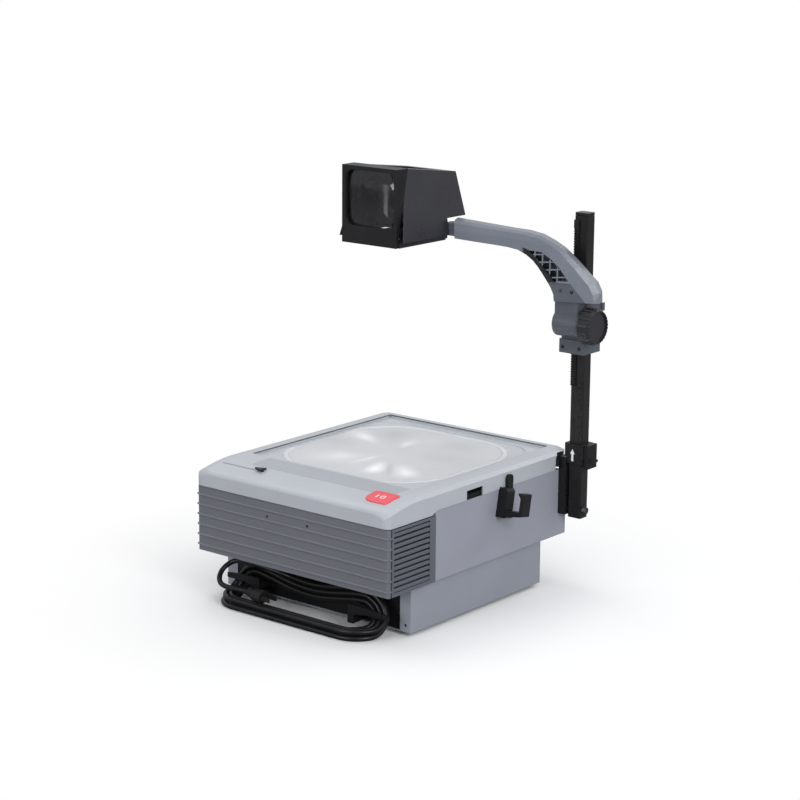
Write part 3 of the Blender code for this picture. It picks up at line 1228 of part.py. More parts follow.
def build_collar():
    z0, z1 = COLLAR_Z0, COLLAR_Z1
    collar = part("release_collar", outline_mesh(rounded(COLLAR_X0, COLLAR_X1, COLLAR_Y0, COLLAR_Y1, MAST_CORNER, 2), z0, z1, "Z"),
                  "plastic_black", MAST, ((MAST_X0 + MAST_X1) / 2, PIVOT_Y, z0))
    join(collar, box_mesh((MAST_X0 - GAP, COLLAR_Y0, COLLAR_APRON), (COLLAR_X1, MAST_Y0 - 2 * GAP, z0 + GAP)))
    join(collar, box_mesh((COLLAR_X1 - 2 * GAP, COLLAR_BLOCK_Y0, COLLAR_BLOCK_Z0), (COLLAR_BLOCK_X, COLLAR_Y1 - GAP, z1 - GAP)))
    fin_y = COLLAR_BLOCK_Y0 + FIN_WIDTH
    fin = outline_mesh(((COLLAR_BLOCK_X - GAP * 2, FIN_Z - FIN_THICK), (FIN_TIP_X, FIN_Z + FIN_RISE - FIN_THICK),
                        (FIN_TIP_X, FIN_Z + FIN_RISE), (COLLAR_BLOCK_X - GAP * 2, FIN_Z)), COLLAR_BLOCK_Y0 + GAP, fin_y, "Y")
    join(collar, fin)
    cut(collar, box_mesh((MAST_X0 - RUN, MAST_Y0 - RUN, COLLAR_BLOCK_Z0 - OVERRUN), (MAST_X1 + RUN, MAST_Y1 + RUN, z1 + OVERRUN)))


def build_rest_hook():
    lean = math.radians(-HOOK_LEAN_DEG)
    low = HOOK_BOTTOM
    outline = ((HOOK_X0, low), (HOOK_X1, low), (HOOK_X1, HOOK_TOP), (HOOK_MOUTH_X1 - HOOK_BARB, HOOK_TOP),
               (HOOK_MOUTH_X1 - HOOK_BARB, HOOK_TOP - HOOK_BARB_HEIGHT), (HOOK_MOUTH_X1, HOOK_TOP - 2 * HOOK_BARB_HEIGHT),
               (HOOK_MOUTH_X1, low + HOOK_BAR), (HOOK_MOUTH_X0, low + HOOK_BAR), (HOOK_MOUTH_X0, HOOK_BACK_TOP),
               (HOOK_X0, HOOK_BACK_TOP))
    mesh = outline_mesh(outline, HOOK_Y - HOOK_DEPTH / 2, HOOK_Y + HOOK_DEPTH / 2, "Y")
    hook = part("mast_rest_hook", mesh, "plastic_black", FRAME, ((HOOK_X0 + HOOK_X1) / 2, HOOK_Y, low))
    hook.rotation_euler = (lean, 0, 0)

    big_z = LEVER_PIVOT_Z + LEVER_LENGTH - LEVER_BIG
    points = []
    for k in range(9):
        turn = math.radians(-15 + 210 * k / 8)
        points.append((LEVER_Y + LEVER_BIG * math.cos(turn), big_z + LEVER_BIG * math.sin(turn)))
    for k in range(6):
        turn = math.radians(190 + 160 * k / 5)
        points.append((LEVER_Y + LEVER_SMALL * math.cos(turn), LEVER_PIVOT_Z + LEVER_SMALL * math.sin(turn)))
    inner = COVER_X + RUN
    lever = part("rest_lever", outline_mesh(points, inner, inner + LEVER_THICK, "X"), "plastic_black", FRAME,
                 (inner, LEVER_Y, LEVER_PIVOT_Z))
    join(lever, rod_mesh(LEVER_PIN_RADIUS, HOUSING_X - 2 * SHEET, inner + GAP, "X", (LEVER_Y, LEVER_PIVOT_Z), COARSE))

    tab = part("latch_tab", box_mesh((HOUSING_X - SHEET - TAB_DEPTH, NOTCH_FRONT + TAB_INSET, HOUSING_TOP + GAP),
                                     (HOUSING_X - GAP, NOTCH_REAR - RUN, TAB_TOP)), "carriage_grey", FRAME)
    return tab


def build_carriage():
    body = part("carriage_housing", box_mesh((CAR_X0, CAR_BODY_Y0, CAR_BLOCK_Z1 - GAP), (CAR_X1, CAR_REAR, ARM_FOOT_Z - GAP)),
                "arm_grey", CARRIAGE)
    join(body, box_mesh((CAR_BLOCK_X0, CAR_BLOCK_Y0, CAR_BLOCK_Z0), (CAR_BLOCK_X1, CAR_REAR - GAP, CAR_BLOCK_Z1)))
    join(body, box_mesh((CAR_PLATE_X0, CAR_PLATE_Y, BARREL_Z), (CAR_PLATE_X1, CAR_BODY_Y0 + GAP, ARM_FOOT_Z - 2 * GAP)))
    join(body, rod_mesh(BARREL_RADIUS, BARREL_X0 + GAP, BARREL_X1, "X", (BARREL_Y, BARREL_Z), FINE))
    join(body, box_mesh((CAR_X1 - GAP, CAR_TAB_Y0, CAR_TAB_Z0), (CAR_TAB_X, CAR_TAB_Y1, CAR_TAB_Z1)))
    slide = RUN
    cut(body, box_mesh((MAST_X0 - slide, MAST_Y0 - slide, CAR_BLOCK_Z0 - OVERRUN), (MAST_X1 + slide, MAST_Y1 + slide, ARM_FOOT_Z)))
    rack_face = MAST_Y0 - GAP - RACK_BODY - RACK_TOOTH
    cut(body, box_mesh((RACK_X0 - slide, rack_face - slide, CAR_BLOCK_Z0 - OVERRUN),
                       (RACK_X0 + RACK_WIDTH + slide, MAST_Y0, ARM_FOOT_Z)))
    tip = rack_face - BARREL_Y - RUN
    bore = tip + RUN
    cut(body, rod_mesh(bore, RACK_X0 - 2 * slide, RACK_X0 + RACK_WIDTH + slide * 2, "X", (BARREL_Y, BARREL_Z), FINE))
    cut(body, rod_mesh(SHAFT_BORE, RACK_X0, BARREL_X1 + OVERRUN, "X", (BARREL_Y, BARREL_Z), COARSE))
    screws = [rod_mesh(CAR_SCREW_RADIUS, CAR_BLOCK_Y0 - OVERRUN, CAR_BLOCK_Y0 + CAR_SCREW_DEPTH, "Y", (x, CAR_LOW_SCREW_Z), COARSE)
              for x in CAR_LOW_SCREW_X]
    cut(body, merged(screws))

    teeth = PINION_TEETH
    outline = []
    for k in range(teeth):
        for share, radius in ((0.0, tip - RACK_TOOTH), (0.25, tip - RACK_TOOTH), (0.45, tip), (0.80, tip)):
            turn = 2 * math.pi * (k + share) / teeth
            outline.append((BARREL_Y + radius * math.cos(turn), BARREL_Z + radius * math.sin(turn)))
    pinion = part("pinion_shaft", outline_mesh(outline, RACK_X0, RACK_X0 + RACK_WIDTH, "X"), "steel_plain", KNOB,
                  (RACK_X0, BARREL_Y, BARREL_Z))
    join(pinion, rod_mesh(SHAFT_RADIUS, RACK_X0 + RACK_WIDTH / 2, KNOB_X0 - GAP, "X", (BARREL_Y, BARREL_Z), COARSE))

    outline = []
    for k in range(KNOB_FLUTES):
        for share, radius in ((0.0, KNOB_RADIUS), (0.5, KNOB_RADIUS), (0.65, KNOB_RADIUS - KNOB_FLUTE),
                              (0.85, KNOB_RADIUS - KNOB_FLUTE)):
            turn = 2 * math.pi * (k + share) / KNOB_FLUTES
            outline.append((math.cos(turn) * radius, math.sin(turn) * radius))
    sections = []
    for x, share in ((KNOB_X0, 0.94), (KNOB_X0 + KNOB_EDGE, 1.0), (KNOB_X1 - KNOB_EDGE * 2, 1.0), (KNOB_X1, KNOB_FACE_SHARE)):
        sections.append([(x, BARREL_Y + u * share, BARREL_Z + v * share) for u, v in outline])
    knob = part("focus_knob", loft_mesh(sections, False), "hood_black", KNOB, (KNOB_X0, BARREL_Y, BARREL_Z))
    cut(knob, rod_mesh(KNOB_FACE_RADIUS, KNOB_X1 - KNOB_RECESS, KNOB_X1 + OVERRUN, "X", (BARREL_Y, BARREL_Z), ROUND))


def spread(shares, count):
    """Points evenly along a row of shares, measured along its length."""
    points = np.array(shares)
    steps = np.linalg.norm(np.diff(points, axis=0), axis=1)
    along = np.concatenate([[0], np.cumsum(steps)]) / steps.sum()
    wanted = np.linspace(0, 1, count)
    return [(float(np.interp(t, along, points[:, 0])), float(np.interp(t, along, points[:, 1]))) for t in wanted]


ARM_FROM = Vector((*ARM_ROOT, 0))
ARM_TO = Vector((*ARM_END, 0))
ARM_REACH = (ARM_TO - ARM_FROM).length
ARM_ALONG = (ARM_TO - ARM_FROM).normalized()
ARM_SIDE = Vector((-ARM_ALONG.y, ARM_ALONG.x, 0))


def on_arm(share, rise, aside):
    return ARM_FROM + ARM_ALONG * (share * ARM_REACH) + ARM_SIDE * aside + Vector((0, 0, ARM_FOOT_Z + rise * ARM_RISE))


def arm_prism(outline, low, high):
    return loft_mesh([[on_arm(s, r, low) for s, r in outline], [on_arm(s, r, high) for s, r in outline]])


def window_span(centre, direction, scale):
    """How far the window's edge lies behind and ahead of a point, along a direction."""
    behind, ahead = -ARM_REACH, ARM_REACH
    corners = [np.array(corner) * scale for corner in WINDOW_SHARES]
    for corner, following in zip(corners, corners[1:] + corners[:1]):
        edge = following - corner
        cross = direction[0] * edge[1] - direction[1] * edge[0]
        offset = corner - centre
        run = (offset[0] * edge[1] - offset[1] * edge[0]) / cross
        share = (offset[0] * direction[1] - offset[1] * direction[0]) / cross
        if 0 <= share <= 1:
            behind, ahead = (behind, min(ahead, run)) if run > 0 else (max(behind, run), ahead)
    return behind, ahead


def build_arm():
    """A hollow-backed casting: a broad crown, a ridge, an underside drawn in, and a ribbed web in the bend."""
    rows = zip(*(spread(shares, ARM_STATIONS) for shares in (ARM_TOP_SHARES, ARM_RIDGE_SHARES, ARM_BOTTOM_SHARES)))
    sections = []
    for crown, ridge, under in rows:
        edge = (blend(ARM_EDGE_SHARE, ridge[0], crown[0]), blend(ARM_EDGE_SHARE, ridge[1], crown[1]))
        top, wide, low = ARM_HALF * ARM_TOP_HALF_SHARE, ARM_HALF, ARM_HALF * ARM_BOTTOM_HALF_SHARE
        sections.append([on_arm(*crown, top), on_arm(*edge, wide), on_arm(*ridge, wide), on_arm(*under, low),
                         on_arm(*under, -low), on_arm(*ridge, -wide), on_arm(*edge, -wide), on_arm(*crown, -top)])
    arm = part("arm", loft_mesh(sections), "arm_grey", CARRIAGE)
    start = (np.array(WINDOW_SHARES[5]) + np.array(WINDOW_SHARES[6])) / 2
    middle_far = (np.array(WINDOW_SHARES[0]) + np.array(WINDOW_SHARES[1])) / 2
    bars = []
    scale = np.array((ARM_REACH, ARM_RISE))
    axis = (middle_far - start) * scale
    axis = axis / np.linalg.norm(axis)
    length = np.linalg.norm((middle_far - start) * scale)
    for k in range(WINDOW_BARS):
        for slope in (-1, 1):
            centre = start * scale + axis * length * (k + 0.5) / WINDOW_BARS
            turn = math.radians(WINDOW_CROSS_DEG) * slope
            direction = np.array((axis[0] * math.cos(turn) - axis[1] * math.sin(turn),
                                  axis[0] * math.sin(turn) + axis[1] * math.cos(turn)))
            square = np.array((-direction[1], direction[0])) * ARM_RIB / 2
            near, far = (direction * (run + math.copysign(ARM_RIB_ROOT, run)) for run in window_span(centre, direction, scale))
            bars.append([tuple((centre + a + b) / scale) for a, b in ((near, -square), (far, -square), (far, square), (near, square))])
    return arm, bars


def finish_arm(arm, bars):
    """The window is sunk from both sides down to a thin web, and the crossed ribs are set into it."""
    reach = ARM_HALF + OVERRUN
    cut(arm, arm_prism(WINDOW_SHARES, ARM_RIB / 2, reach), arm_prism(WINDOW_SHARES, -reach, -ARM_RIB / 2))
    for k, bar in enumerate(bars):
        face = ARM_HALF - ARM_RIB_SINK * (1 + k % 2 / 2)
        join(arm, arm_prism(bar, -face * ARM_BOTTOM_HALF_SHARE, face))
    for share, rise in ARM_SCREW_SHARES:
        centre = on_arm(share, rise, ARM_HALF)
        hole = rod_mesh(ARM_SCREW_RADIUS, -ARM_SCREW_DEPTH, OVERRUN, "Z", (0, 0), COARSE)
        hole.transform(Matrix.Rotation(math.pi / 2, 4, "X"))
        hole.transform(Matrix.Rotation(math.atan2(ARM_SIDE.x, -ARM_SIDE.y), 4, "Z"))
        hole.transform(Matrix.Translation(centre))
        cut(arm, hole)


def build_knuckle():
    """The black block on the arm's end, with the pin that the head tilts on."""
    face = ARM_FROM + ARM_ALONG * (ARM_REACH * ARM_TIP_SHARE + GAP)
    def edge_x(y):
        return face.x + (y - face.y) * ARM_SIDE.x / ARM_SIDE.y
    outline = ((KNUCKLE_X0, KNUCKLE_Y0), (edge_x(KNUCKLE_Y0), KNUCKLE_Y0), (edge_x(KNUCKLE_Y1), KNUCKLE_Y1),
               (KNUCKLE_X0, KNUCKLE_Y1))
    knuckle = part("head_knuckle", outline_mesh(outline, KNUCKLE_Z0, KNUCKLE_Z1, "Z"), "plastic_black", CARRIAGE)
    join(knuckle, rod_mesh(HEAD_PIN_RADIUS, KNUCKLE_X0 - HEAD_PIN_LENGTH, KNUCKLE_X0 + GAP, "X",
                           (HEAD_AXIS_Y, HEAD_AXIS_Z), COARSE))


def hood_half(z):
    return blend((z - HOOD_BASE_Z) / (HOOD_TOP_FRONT_Z - HOOD_BASE_Z), HOOD_BASE_HALF, HOOD_TOP_HALF)


def hood_mesh(wall):
    """The hood seen from the side, made solid across and drawn in towards its top."""
    grow = OVERRUN if wall else 0
    front = 2 * OVERRUN if wall else 0
    outline = [(HOOD_FRONT_BASE - front, HOOD_BASE_Z - grow), (HOOD_BACK_Y - wall, HOOD_BASE_Z - grow),
               (HOOD_BACK_Y - wall, HOOD_OVERHANG_Z + wall), (HOOD_OVERHANG_Y - wall, HOOD_OVERHANG_Z + wall),
               (HOOD_TOP_REAR_Y - wall, HOOD_TOP_REAR_Z - wall), (HOOD_FRONT_TOP, HOOD_TOP_FRONT_Z - wall)]
    if wall:
        outline.append((HOOD_FRONT_TOP - front, HOOD_TOP_FRONT_Z - wall))
    mesh = outline_mesh(outline, -HOOD_BASE_HALF, HOOD_BASE_HALF, "X")
    for vert in mesh.vertices:
        vert.co.x = math.copysign(hood_half(vert.co.z) - wall, vert.co.x)
    mesh.transform(Matrix.Translation((HEAD_X, 0, 0)))
    return mesh


def build_head():
    hood = part("head_hood", hood_mesh(0), "hood_black", HEAD)
    cut(hood, hood_mesh(HOOD_WALL))
    roof = outline_mesh(rounded(HEAD_X - ROOF_HALF, HEAD_X + ROOF_HALF, ROOF_FRONT, ROOF_REAR, ROOF_RIM, 2),
                        HOOD_TOP_REAR_Z - OVERRUN, HOOD_TOP_FRONT_Z + OVERRUN, "Z")
    cut(hood, roof)

    slope = (HOOD_FRONT_TOP - HOOD_FRONT_BASE) / (HOOD_TOP_FRONT_Z - HOOD_BASE_Z)

    def rear(z):
        return HOOD_FRONT_BASE + slope * (z - HOOD_BASE_Z) - GAP
    outline = ((BEZEL_FRONT, BEZEL_BOTTOM), (rear(BEZEL_BOTTOM), BEZEL_BOTTOM), (rear(BEZEL_TOP), BEZEL_TOP),
               (BEZEL_FRONT, BEZEL_TOP))
    bezel = part("lens_bezel", outline_mesh(outline, BEZEL_LEFT, BEZEL_RIGHT, "X"), "hood_black", HEAD)
    opening = rounded(LENS_LEFT, LENS_RIGHT, LENS_BOTTOM, LENS_TOP, LENS_CORNER, 4)
    cut(bezel, outline_mesh(opening, BEZEL_FRONT - OVERRUN, HOOD_FRONT_TOP + OVERRUN, "Y"))
    middle = ((LENS_LEFT + LENS_RIGHT) / 2, (LENS_BOTTOM + LENS_TOP) / 2)
    back = BEZEL_FRONT + LENS_RIM_SETBACK + FRONT_LENS_CROWN
    profile = [(0, FRONT_LENS_EDGE + FRONT_LENS_CROWN)]
    for k in range(1, 7):
        share = k / 6
        profile.append((FRONT_LENS_RADIUS * share, FRONT_LENS_EDGE + FRONT_LENS_CROWN * (1 - share ** 2)))
    profile += [(FRONT_LENS_RADIUS, 0), (0, 0)]
    mesh = turned_mesh(profile, FINE)
    mesh.transform(Matrix.Rotation(math.pi / 2, 4, "X"))
    mesh.transform(Matrix.Translation((middle[0], back, middle[1])))
    lens = part("front_lens", mesh, "lens_clear", HEAD, smooth=True)
    inset = GAP
    boolean(lens, outline_mesh(rounded(LENS_LEFT + inset, LENS_RIGHT - inset, LENS_BOTTOM + inset, LENS_TOP - inset,
                                       LENS_CORNER - inset, 4), BEZEL_FRONT, HOOD_FRONT_TOP, "Y"), "INTERSECT")

    tray_top = HOOD_BASE_Z - GAP
    tray = part("head_tray", box_mesh((HEAD_X - TRAY_HALF, BEZEL_FOOT_REAR, TRAY_BOTTOM), (HEAD_X + TRAY_HALF, TRAY_REAR, tray_top)),
                "hood_black", HEAD)
    join(tray, box_mesh((EAR_X0, HOOD_BACK_Y + RUN, TRAY_BOTTOM + GAP), (KNUCKLE_X0 - 2 * GAP, HEAD_AXIS_Y, HEAD_AXIS_Z)))
    join(tray, rod_mesh(EAR_RADIUS, EAR_X0 + GAP, KNUCKLE_X0 - 3 * GAP, "X", (HEAD_AXIS_Y, HEAD_AXIS_Z), ROUND))
    cut(tray, rod_mesh(HEAD_PIN_RADIUS + GAP, EAR_X0 - OVERRUN, KNUCKLE_X0 + OVERRUN, "X", (HEAD_AXIS_Y, HEAD_AXIS_Z), COARSE))
    cut(tray, rod_mesh(LOWER_LENS_RADIUS + GAP, TRAY_BOTTOM + LOWER_LENS_LIP, tray_top + OVERRUN, "Z", (HEAD_X, LOWER_LENS_Y), FINE))
    cut(tray, rod_mesh(LOWER_LENS_RADIUS - LOWER_LENS_LIP, TRAY_BOTTOM - OVERRUN, tray_top, "Z", (HEAD_X, LOWER_LENS_Y), FINE))
    low = TRAY_BOTTOM + LOWER_LENS_LIP + GAP
    profile = [(0, LOWER_LENS_EDGE + LOWER_LENS_CROWN)]
    for k in range(1, 5):
        share = k / 4
        profile.append((LOWER_LENS_RADIUS * share, LOWER_LENS_EDGE + LOWER_LENS_CROWN * (1 - share ** 2)))
    profile += [(LOWER_LENS_RADIUS, 0), (0, 0)]
    mesh = turned_mesh(profile, FINE)
    mesh.transform(Matrix.Translation((HEAD_X, LOWER_LENS_Y, low)))
    part("lower_lens", mesh, "lens_clear", HEAD, smooth=True)

    length, thick = MIRROR_LENGTH, MIRROR_THICK
    mesh = box_mesh((-MIRROR_WIDTH / 2, -length, 0), (MIRROR_WIDTH / 2, 0, thick))
    mesh.transform(Matrix.Rotation(math.radians(-45), 4, "X"))
    rise = GAP * 2
    mesh.transform(Matrix.Translation((HEAD_X, MIRROR_FOOT_Y, HOOD_BASE_Z + rise)))
    part("head_mirror", mesh, "mirror_silver", HEAD)


def on_sheet(x, along, layer):
    """The hank lies on a sheet that hangs before the pedestal, bends forward and rests on the floor."""
    step = CORD_DIAMETER + LAYER_SPARE
    near = PED_FRONT - HANK_BACK - CORD_DIAMETER / 2
    floor = CORD_DIAMETER / 2 + CORD_SEAT
    centre_y, centre_z = near - step - HANK_BEND, floor + step + HANK_BEND
    fall = HANK_TOP - centre_z
    sag = HANK_SAG * max(0.0, 1 - (x / HANK_SAG_HALF) ** 2) ** 2
    sag *= min(1.0, max(0.0, (SAG_TO - along) / (SAG_TO - SAG_FROM)))
    if along < fall:
        return np.array((x, near - layer * step, HANK_TOP - along - sag))
    turn = (along - fall) / HANK_BEND
    if turn < math.pi / 2:
        radius = HANK_BEND + (1 - layer) * step
        return np.array((x, centre_y + radius * math.cos(turn), centre_z - radius * math.sin(turn) - sag))
    rest = along - fall - HANK_BEND * math.pi / 2
    return np.array((x, centre_y - rest, floor + layer * step))


def oval(share):
    """A point of the hank's middle loop, half circles joined by straight runs, and the way straight out of it there.
    Each quarter circle and each half run takes its own number of steps."""
    half = HANK_HEIGHT / 2 - (CORD_DIAMETER + CORD_SPARE) * CORD_LOOPS / 4
    run = HANK_HALF - HANK_HEIGHT / 2
    steps = (share % 1.0) * 4 * (ARC_STEPS + RUN_STEPS / 2)
    lower = steps > 2 * ARC_STEPS + RUN_STEPS
    if lower:
        steps -= 2 * ARC_STEPS + RUN_STEPS
    if steps < ARC_STEPS:
        x, turn = run, math.pi / 2 * steps / ARC_STEPS
    elif steps < ARC_STEPS + RUN_STEPS:
        x, turn = run - 2 * run * (steps - ARC_STEPS) / RUN_STEPS, math.pi / 2
    else:
        x, turn = -run, math.pi / 2 * (steps - RUN_STEPS) / ARC_STEPS
    flip = -1 if lower else 1
    away = np.array((math.cos(turn), math.sin(turn))) * flip
    return np.array((x * flip, 0)) + away * half, away


def hank_points():
    """Loops run inward on the back layer, step over where they reverse, and run out on the front one."""
    pitch = CORD_DIAMETER + CORD_SPARE
    middle, run = HANK_HEIGHT / 2, HANK_HALF - HANK_HEIGHT / 2
    around = 4 * (ARC_STEPS + RUN_STEPS / 2)
    begin = (ARC_STEPS + RUN_STEPS * (run - HANK_START_X) / (2 * run)) / around
    points = []
    for k in range(int(CORD_LOOPS * around) + 1):
        t = k / around
        climb = min(1.0, max(0.0, (t - CORD_LOOPS / 2) / CLIMB_TURNS + 1 / 2))
        place, away = oval(begin + t)
        x, rise = place + away * pitch * (CORD_LOOPS / 4 - min(t, CORD_LOOPS - t))
        points.append(on_sheet(x + HANK_MIDDLE, middle - rise, climb * climb * (3 - 2 * climb)))
    return np.array(points)


def least_gap(points):
    """The least clear space between stretches of a tube that aren't neighbours along it."""
    a, b = points[:-1], points[1:]
    middles = np.concatenate([blend(s, a, b) for s in (0.0, 0.25, 0.5, 0.75)])
    where = np.concatenate([np.arange(len(a)) + s for s in (0.0, 0.25, 0.5, 0.75)])
    least = float("inf")
    for k in range(len(middles)):
        far = np.abs(where - where[k]) > 4
        least = min(least, float(np.linalg.norm(middles[far] - middles[k], axis=1).min()))
    return least - CORD_DIAMETER


def tube(name, points, look, parent, resolution):
    curve = bpy.data.curves.new(name, "CURVE")
    curve.dimensions = "3D"
    curve.bevel_depth = CORD_DIAMETER / 2
    curve.bevel_resolution = resolution
    curve.use_fill_caps = True
    spline = curve.splines.new("POLY")
    spline.points.add(len(points) - 1)
    for point, place in zip(spline.points, points):
        point.co = (*place, 1)
    obj = bpy.data.objects.new(name, curve)
    PARTS.objects.link(obj)
    curve.materials.append(MATERIALS[look])
    obj.parent = parent
    return obj


def smooth_route(route, count):
    """Points spaced along a centripetal curve through the route's own points."""
    points = np.array(route, dtype=float)
    ends = np.vstack([2 * points[0] - points[1], points, 2 * points[-1] - points[-2]])
    dense = []
    for k in range(1, len(ends) - 2):
        p0, p1, p2, p3 = ends[k - 1:k + 3]
        t0 = 0.0
        t1 = t0 + np.linalg.norm(p1 - p0) ** 0.5
        t2 = t1 + np.linalg.norm(p2 - p1) ** 0.5
        t3 = t2 + np.linalg.norm(p3 - p2) ** 0.5
        for t in np.linspace(t1, t2, 24, endpoint=False):
            a1 = (t1 - t) / (t1 - t0) * p0 + (t - t0) / (t1 - t0) * p1
            a2 = (t2 - t) / (t2 - t1) * p1 + (t - t1) / (t2 - t1) * p2
            a3 = (t3 - t) / (t3 - t2) * p2 + (t - t2) / (t3 - t2) * p3
            b1 = (t2 - t) / (t2 - t0) * a1 + (t - t0) / (t2 - t0) * a2
            b2 = (t3 - t) / (t3 - t1) * a2 + (t - t1) / (t3 - t1) * a3
            dense.append((t2 - t) / (t2 - t1) * b1 + (t - t1) / (t2 - t1) * b2)
    dense.append(points[-1])
    dense = np.array(dense)
    steps = np.linalg.norm(np.diff(dense, axis=0), axis=1)
    along = np.concatenate([[0], np.cumsum(steps)])
    wanted = np.linspace(0, along[-1], count)
    return np.column_stack([np.interp(wanted, along, dense[:, k]) for k in range(3)])


def build_cord_hooks(panel_y):
    outer = CORD_HOOK_Y
    low, high = CORD_STEM_Z, CORD_STEM_Z + CORD_STEM_HEIGHT
    for name, side, reach, tip_z in (("cord_hook_left", -1, CORD_HOOK_LEFT_TIP, CORD_HOOK_LEFT_Z),
                                     ("cord_hook_right", 1, CORD_HOOK_RIGHT_TIP, CORD_HOOK_RIGHT_Z)):
        root, end = CORD_STEM_X, CORD_STEM_X + CORD_HOOK_STEM
        bend = blend(CORD_KINK_SHARE, end, reach)
        top = tip_z + CORD_TONGUE_WIDTH
        tongue = [(root, low), (end, low), (end, tip_z - CORD_HOOK_THICK), (bend, tip_z), (reach, tip_z),
                  (reach, blend(CORD_TIP_SHARE, tip_z, top)), (bend, top), (root, top)]
        tongue = [(side * u, v) for u, v in tongue]
        hook = part(name, outline_mesh(tongue, outer, outer + CORD_HOOK_THICK, "Y"), "plastic_black", FRAME)
        ends = sorted((side * (root + GAP), side * (end - GAP)))
        join(hook, box_mesh((ends[0], outer + GAP, low + GAP), (ends[1], panel_y - GAP, high)))


def build_cord(panel_y):
    relief_tip = RELIEF_BOX_X - RELIEF_LENGTH
    reach = RELIEF_RADIUS * RELIEF_BOX_REACH_SHARE
    box = box_mesh((RELIEF_BOX_X, RELIEF_Y - reach, RELIEF_Z - reach), (RELIEF_BOX_X + RELIEF_BOX_LENGTH, panel_y - GAP, RELIEF_Z + reach))
    relief = part("strain_relief", box, "plastic_black", FRAME)
    join(relief, cone_mesh(RELIEF_RADIUS * RELIEF_TIP_SHARE, RELIEF_RADIUS, relief_tip, RELIEF_BOX_X + GAP, "X",
                           (RELIEF_Y, RELIEF_Z), COARSE))
    points = hank_points()
    print("cord hank: least clear space to itself", round(least_gap(points) * 1000, 3), "mm, length",
          round(float(np.linalg.norm(np.diff(points, axis=0), axis=1).sum()), 3), "m")
    tube("cord_hank", points, "rubber_black", FRAME, 1)
    first, second = Vector(points[0]), Vector(points[1])
    into = (second - first).normalized()
    start = Vector((relief_tip - GAP, RELIEF_Y, RELIEF_Z))
    end = first - into * GAP
    lead = [start, start - Vector((CORD_DIAMETER, 0, 0)), *LEAD_ROUTE, end - into * CORD_DIAMETER, end]
    tube("cord_lead", smooth_route(lead, LEAD_POINTS), "rubber_black", FRAME, 2)
    last, before = Vector(points[-1]), Vector(points[-2])
    out = (last - before).normalized()
    start = last + out * GAP
    aim = Vector(PLUG_DIRECTION).normalized()
    plug_at = Vector(PLUG_PLACE)
    top, foot = Vector((TURN_X, *TURN_TOP)), Vector((TURN_X, *TURN_FOOT))
    centre = (top + foot) / 2
    sideways = Vector((-(top - centre).length, 0, 0))
    turns = [math.pi * k / TURN_STEPS for k in range(TURN_STEPS + 1)]
    loop = [centre + (top - centre) * math.cos(turn) + sideways * math.sin(turn) for turn in turns]
    tail = [start, start + out * CORD_DIAMETER, *TAIL_ROUTE, *loop, TAIL_END, plug_at - aim * (CORD_DIAMETER + GAP), plug_at - aim * GAP]
    tube("cord_tail", smooth_route(tail, TAIL_POINTS), "rubber_black", FRAME, 2)
    build_plug(plug_at, aim)


def build_plug(place, aim):
    """A moulded three-pin plug drawn along +Y from its cord end, then turned and set down."""
    r, length = PLUG_RADIUS, PLUG_LENGTH
    sections = []
    for share, wide, tall in ((0.0, 0.42, 0.42), (0.30, 0.50, 0.50), (0.42, 0.90, 0.72), (0.95, 1.0, 0.80), (1.0, 0.94, 0.74)):
        ring_points = ring(1.0, 0, 0, COARSE)
        sections.append([(u * r * wide, share * length, v * r * tall) for u, v in ring_points])
    mesh = loft_mesh(sections)
    plug = part("mains_plug", mesh, "plastic_black", FRAME, (0, 0, 0))
    turn = Vector((0, 1, 0)).rotation_difference(aim).to_matrix().to_4x4()
    place_matrix = Matrix.Translation(place) @ turn
    pins = [box_mesh((x - PLUG_BLADE_THICK / 2, length - GAP, -PLUG_BLADE_WIDTH / 2),
                     (x + PLUG_BLADE_THICK / 2, length + PLUG_BLADE_LENGTH, PLUG_BLADE_WIDTH / 2))
            for x in (-PLUG_BLADE_PITCH / 2, PLUG_BLADE_PITCH / 2)]
    mesh = merged(pins)
    mesh.transform(place_matrix)
    plug.data.transform(place_matrix)
    put(plug, FRAME)
    join(plug, mesh)
    return plug


PANEL_Y = build_pedestal()
build_housing()
build_front_panel()
louvre("louvre_left", -1)
louvre("louvre_right", 1)
side_plate("side_plate_left", -1)
side_plate("side_plate_right", 1)
COVER = build_cover()
FRAME_LOW, FRAME_WIDE = build_stage()
TIP_X = build_front_strip(FRAME_LOW, FRAME_WIDE)
build_lid_hinge(COVER)
build_inside()
build_lamp_house(TIP_X)
build_bracket()
build_mast()
build_collar()
build_rest_hook()
build_carriage()
finish_arm(*build_arm())
build_knuckle()
build_head()
build_cord_hooks(PANEL_Y)
build_cord(PANEL_Y)
FRAME.location = (-FOOTPRINT_X, -FOOTPRINT_Y, 0)
bpy.context.view_layer.update()
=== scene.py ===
"""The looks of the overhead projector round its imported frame: finishes, cord, fine pieces, floor, light and camera."""
import math
import bmesh
import bpy
import numpy as np
from mathutils import Matrix, Vector


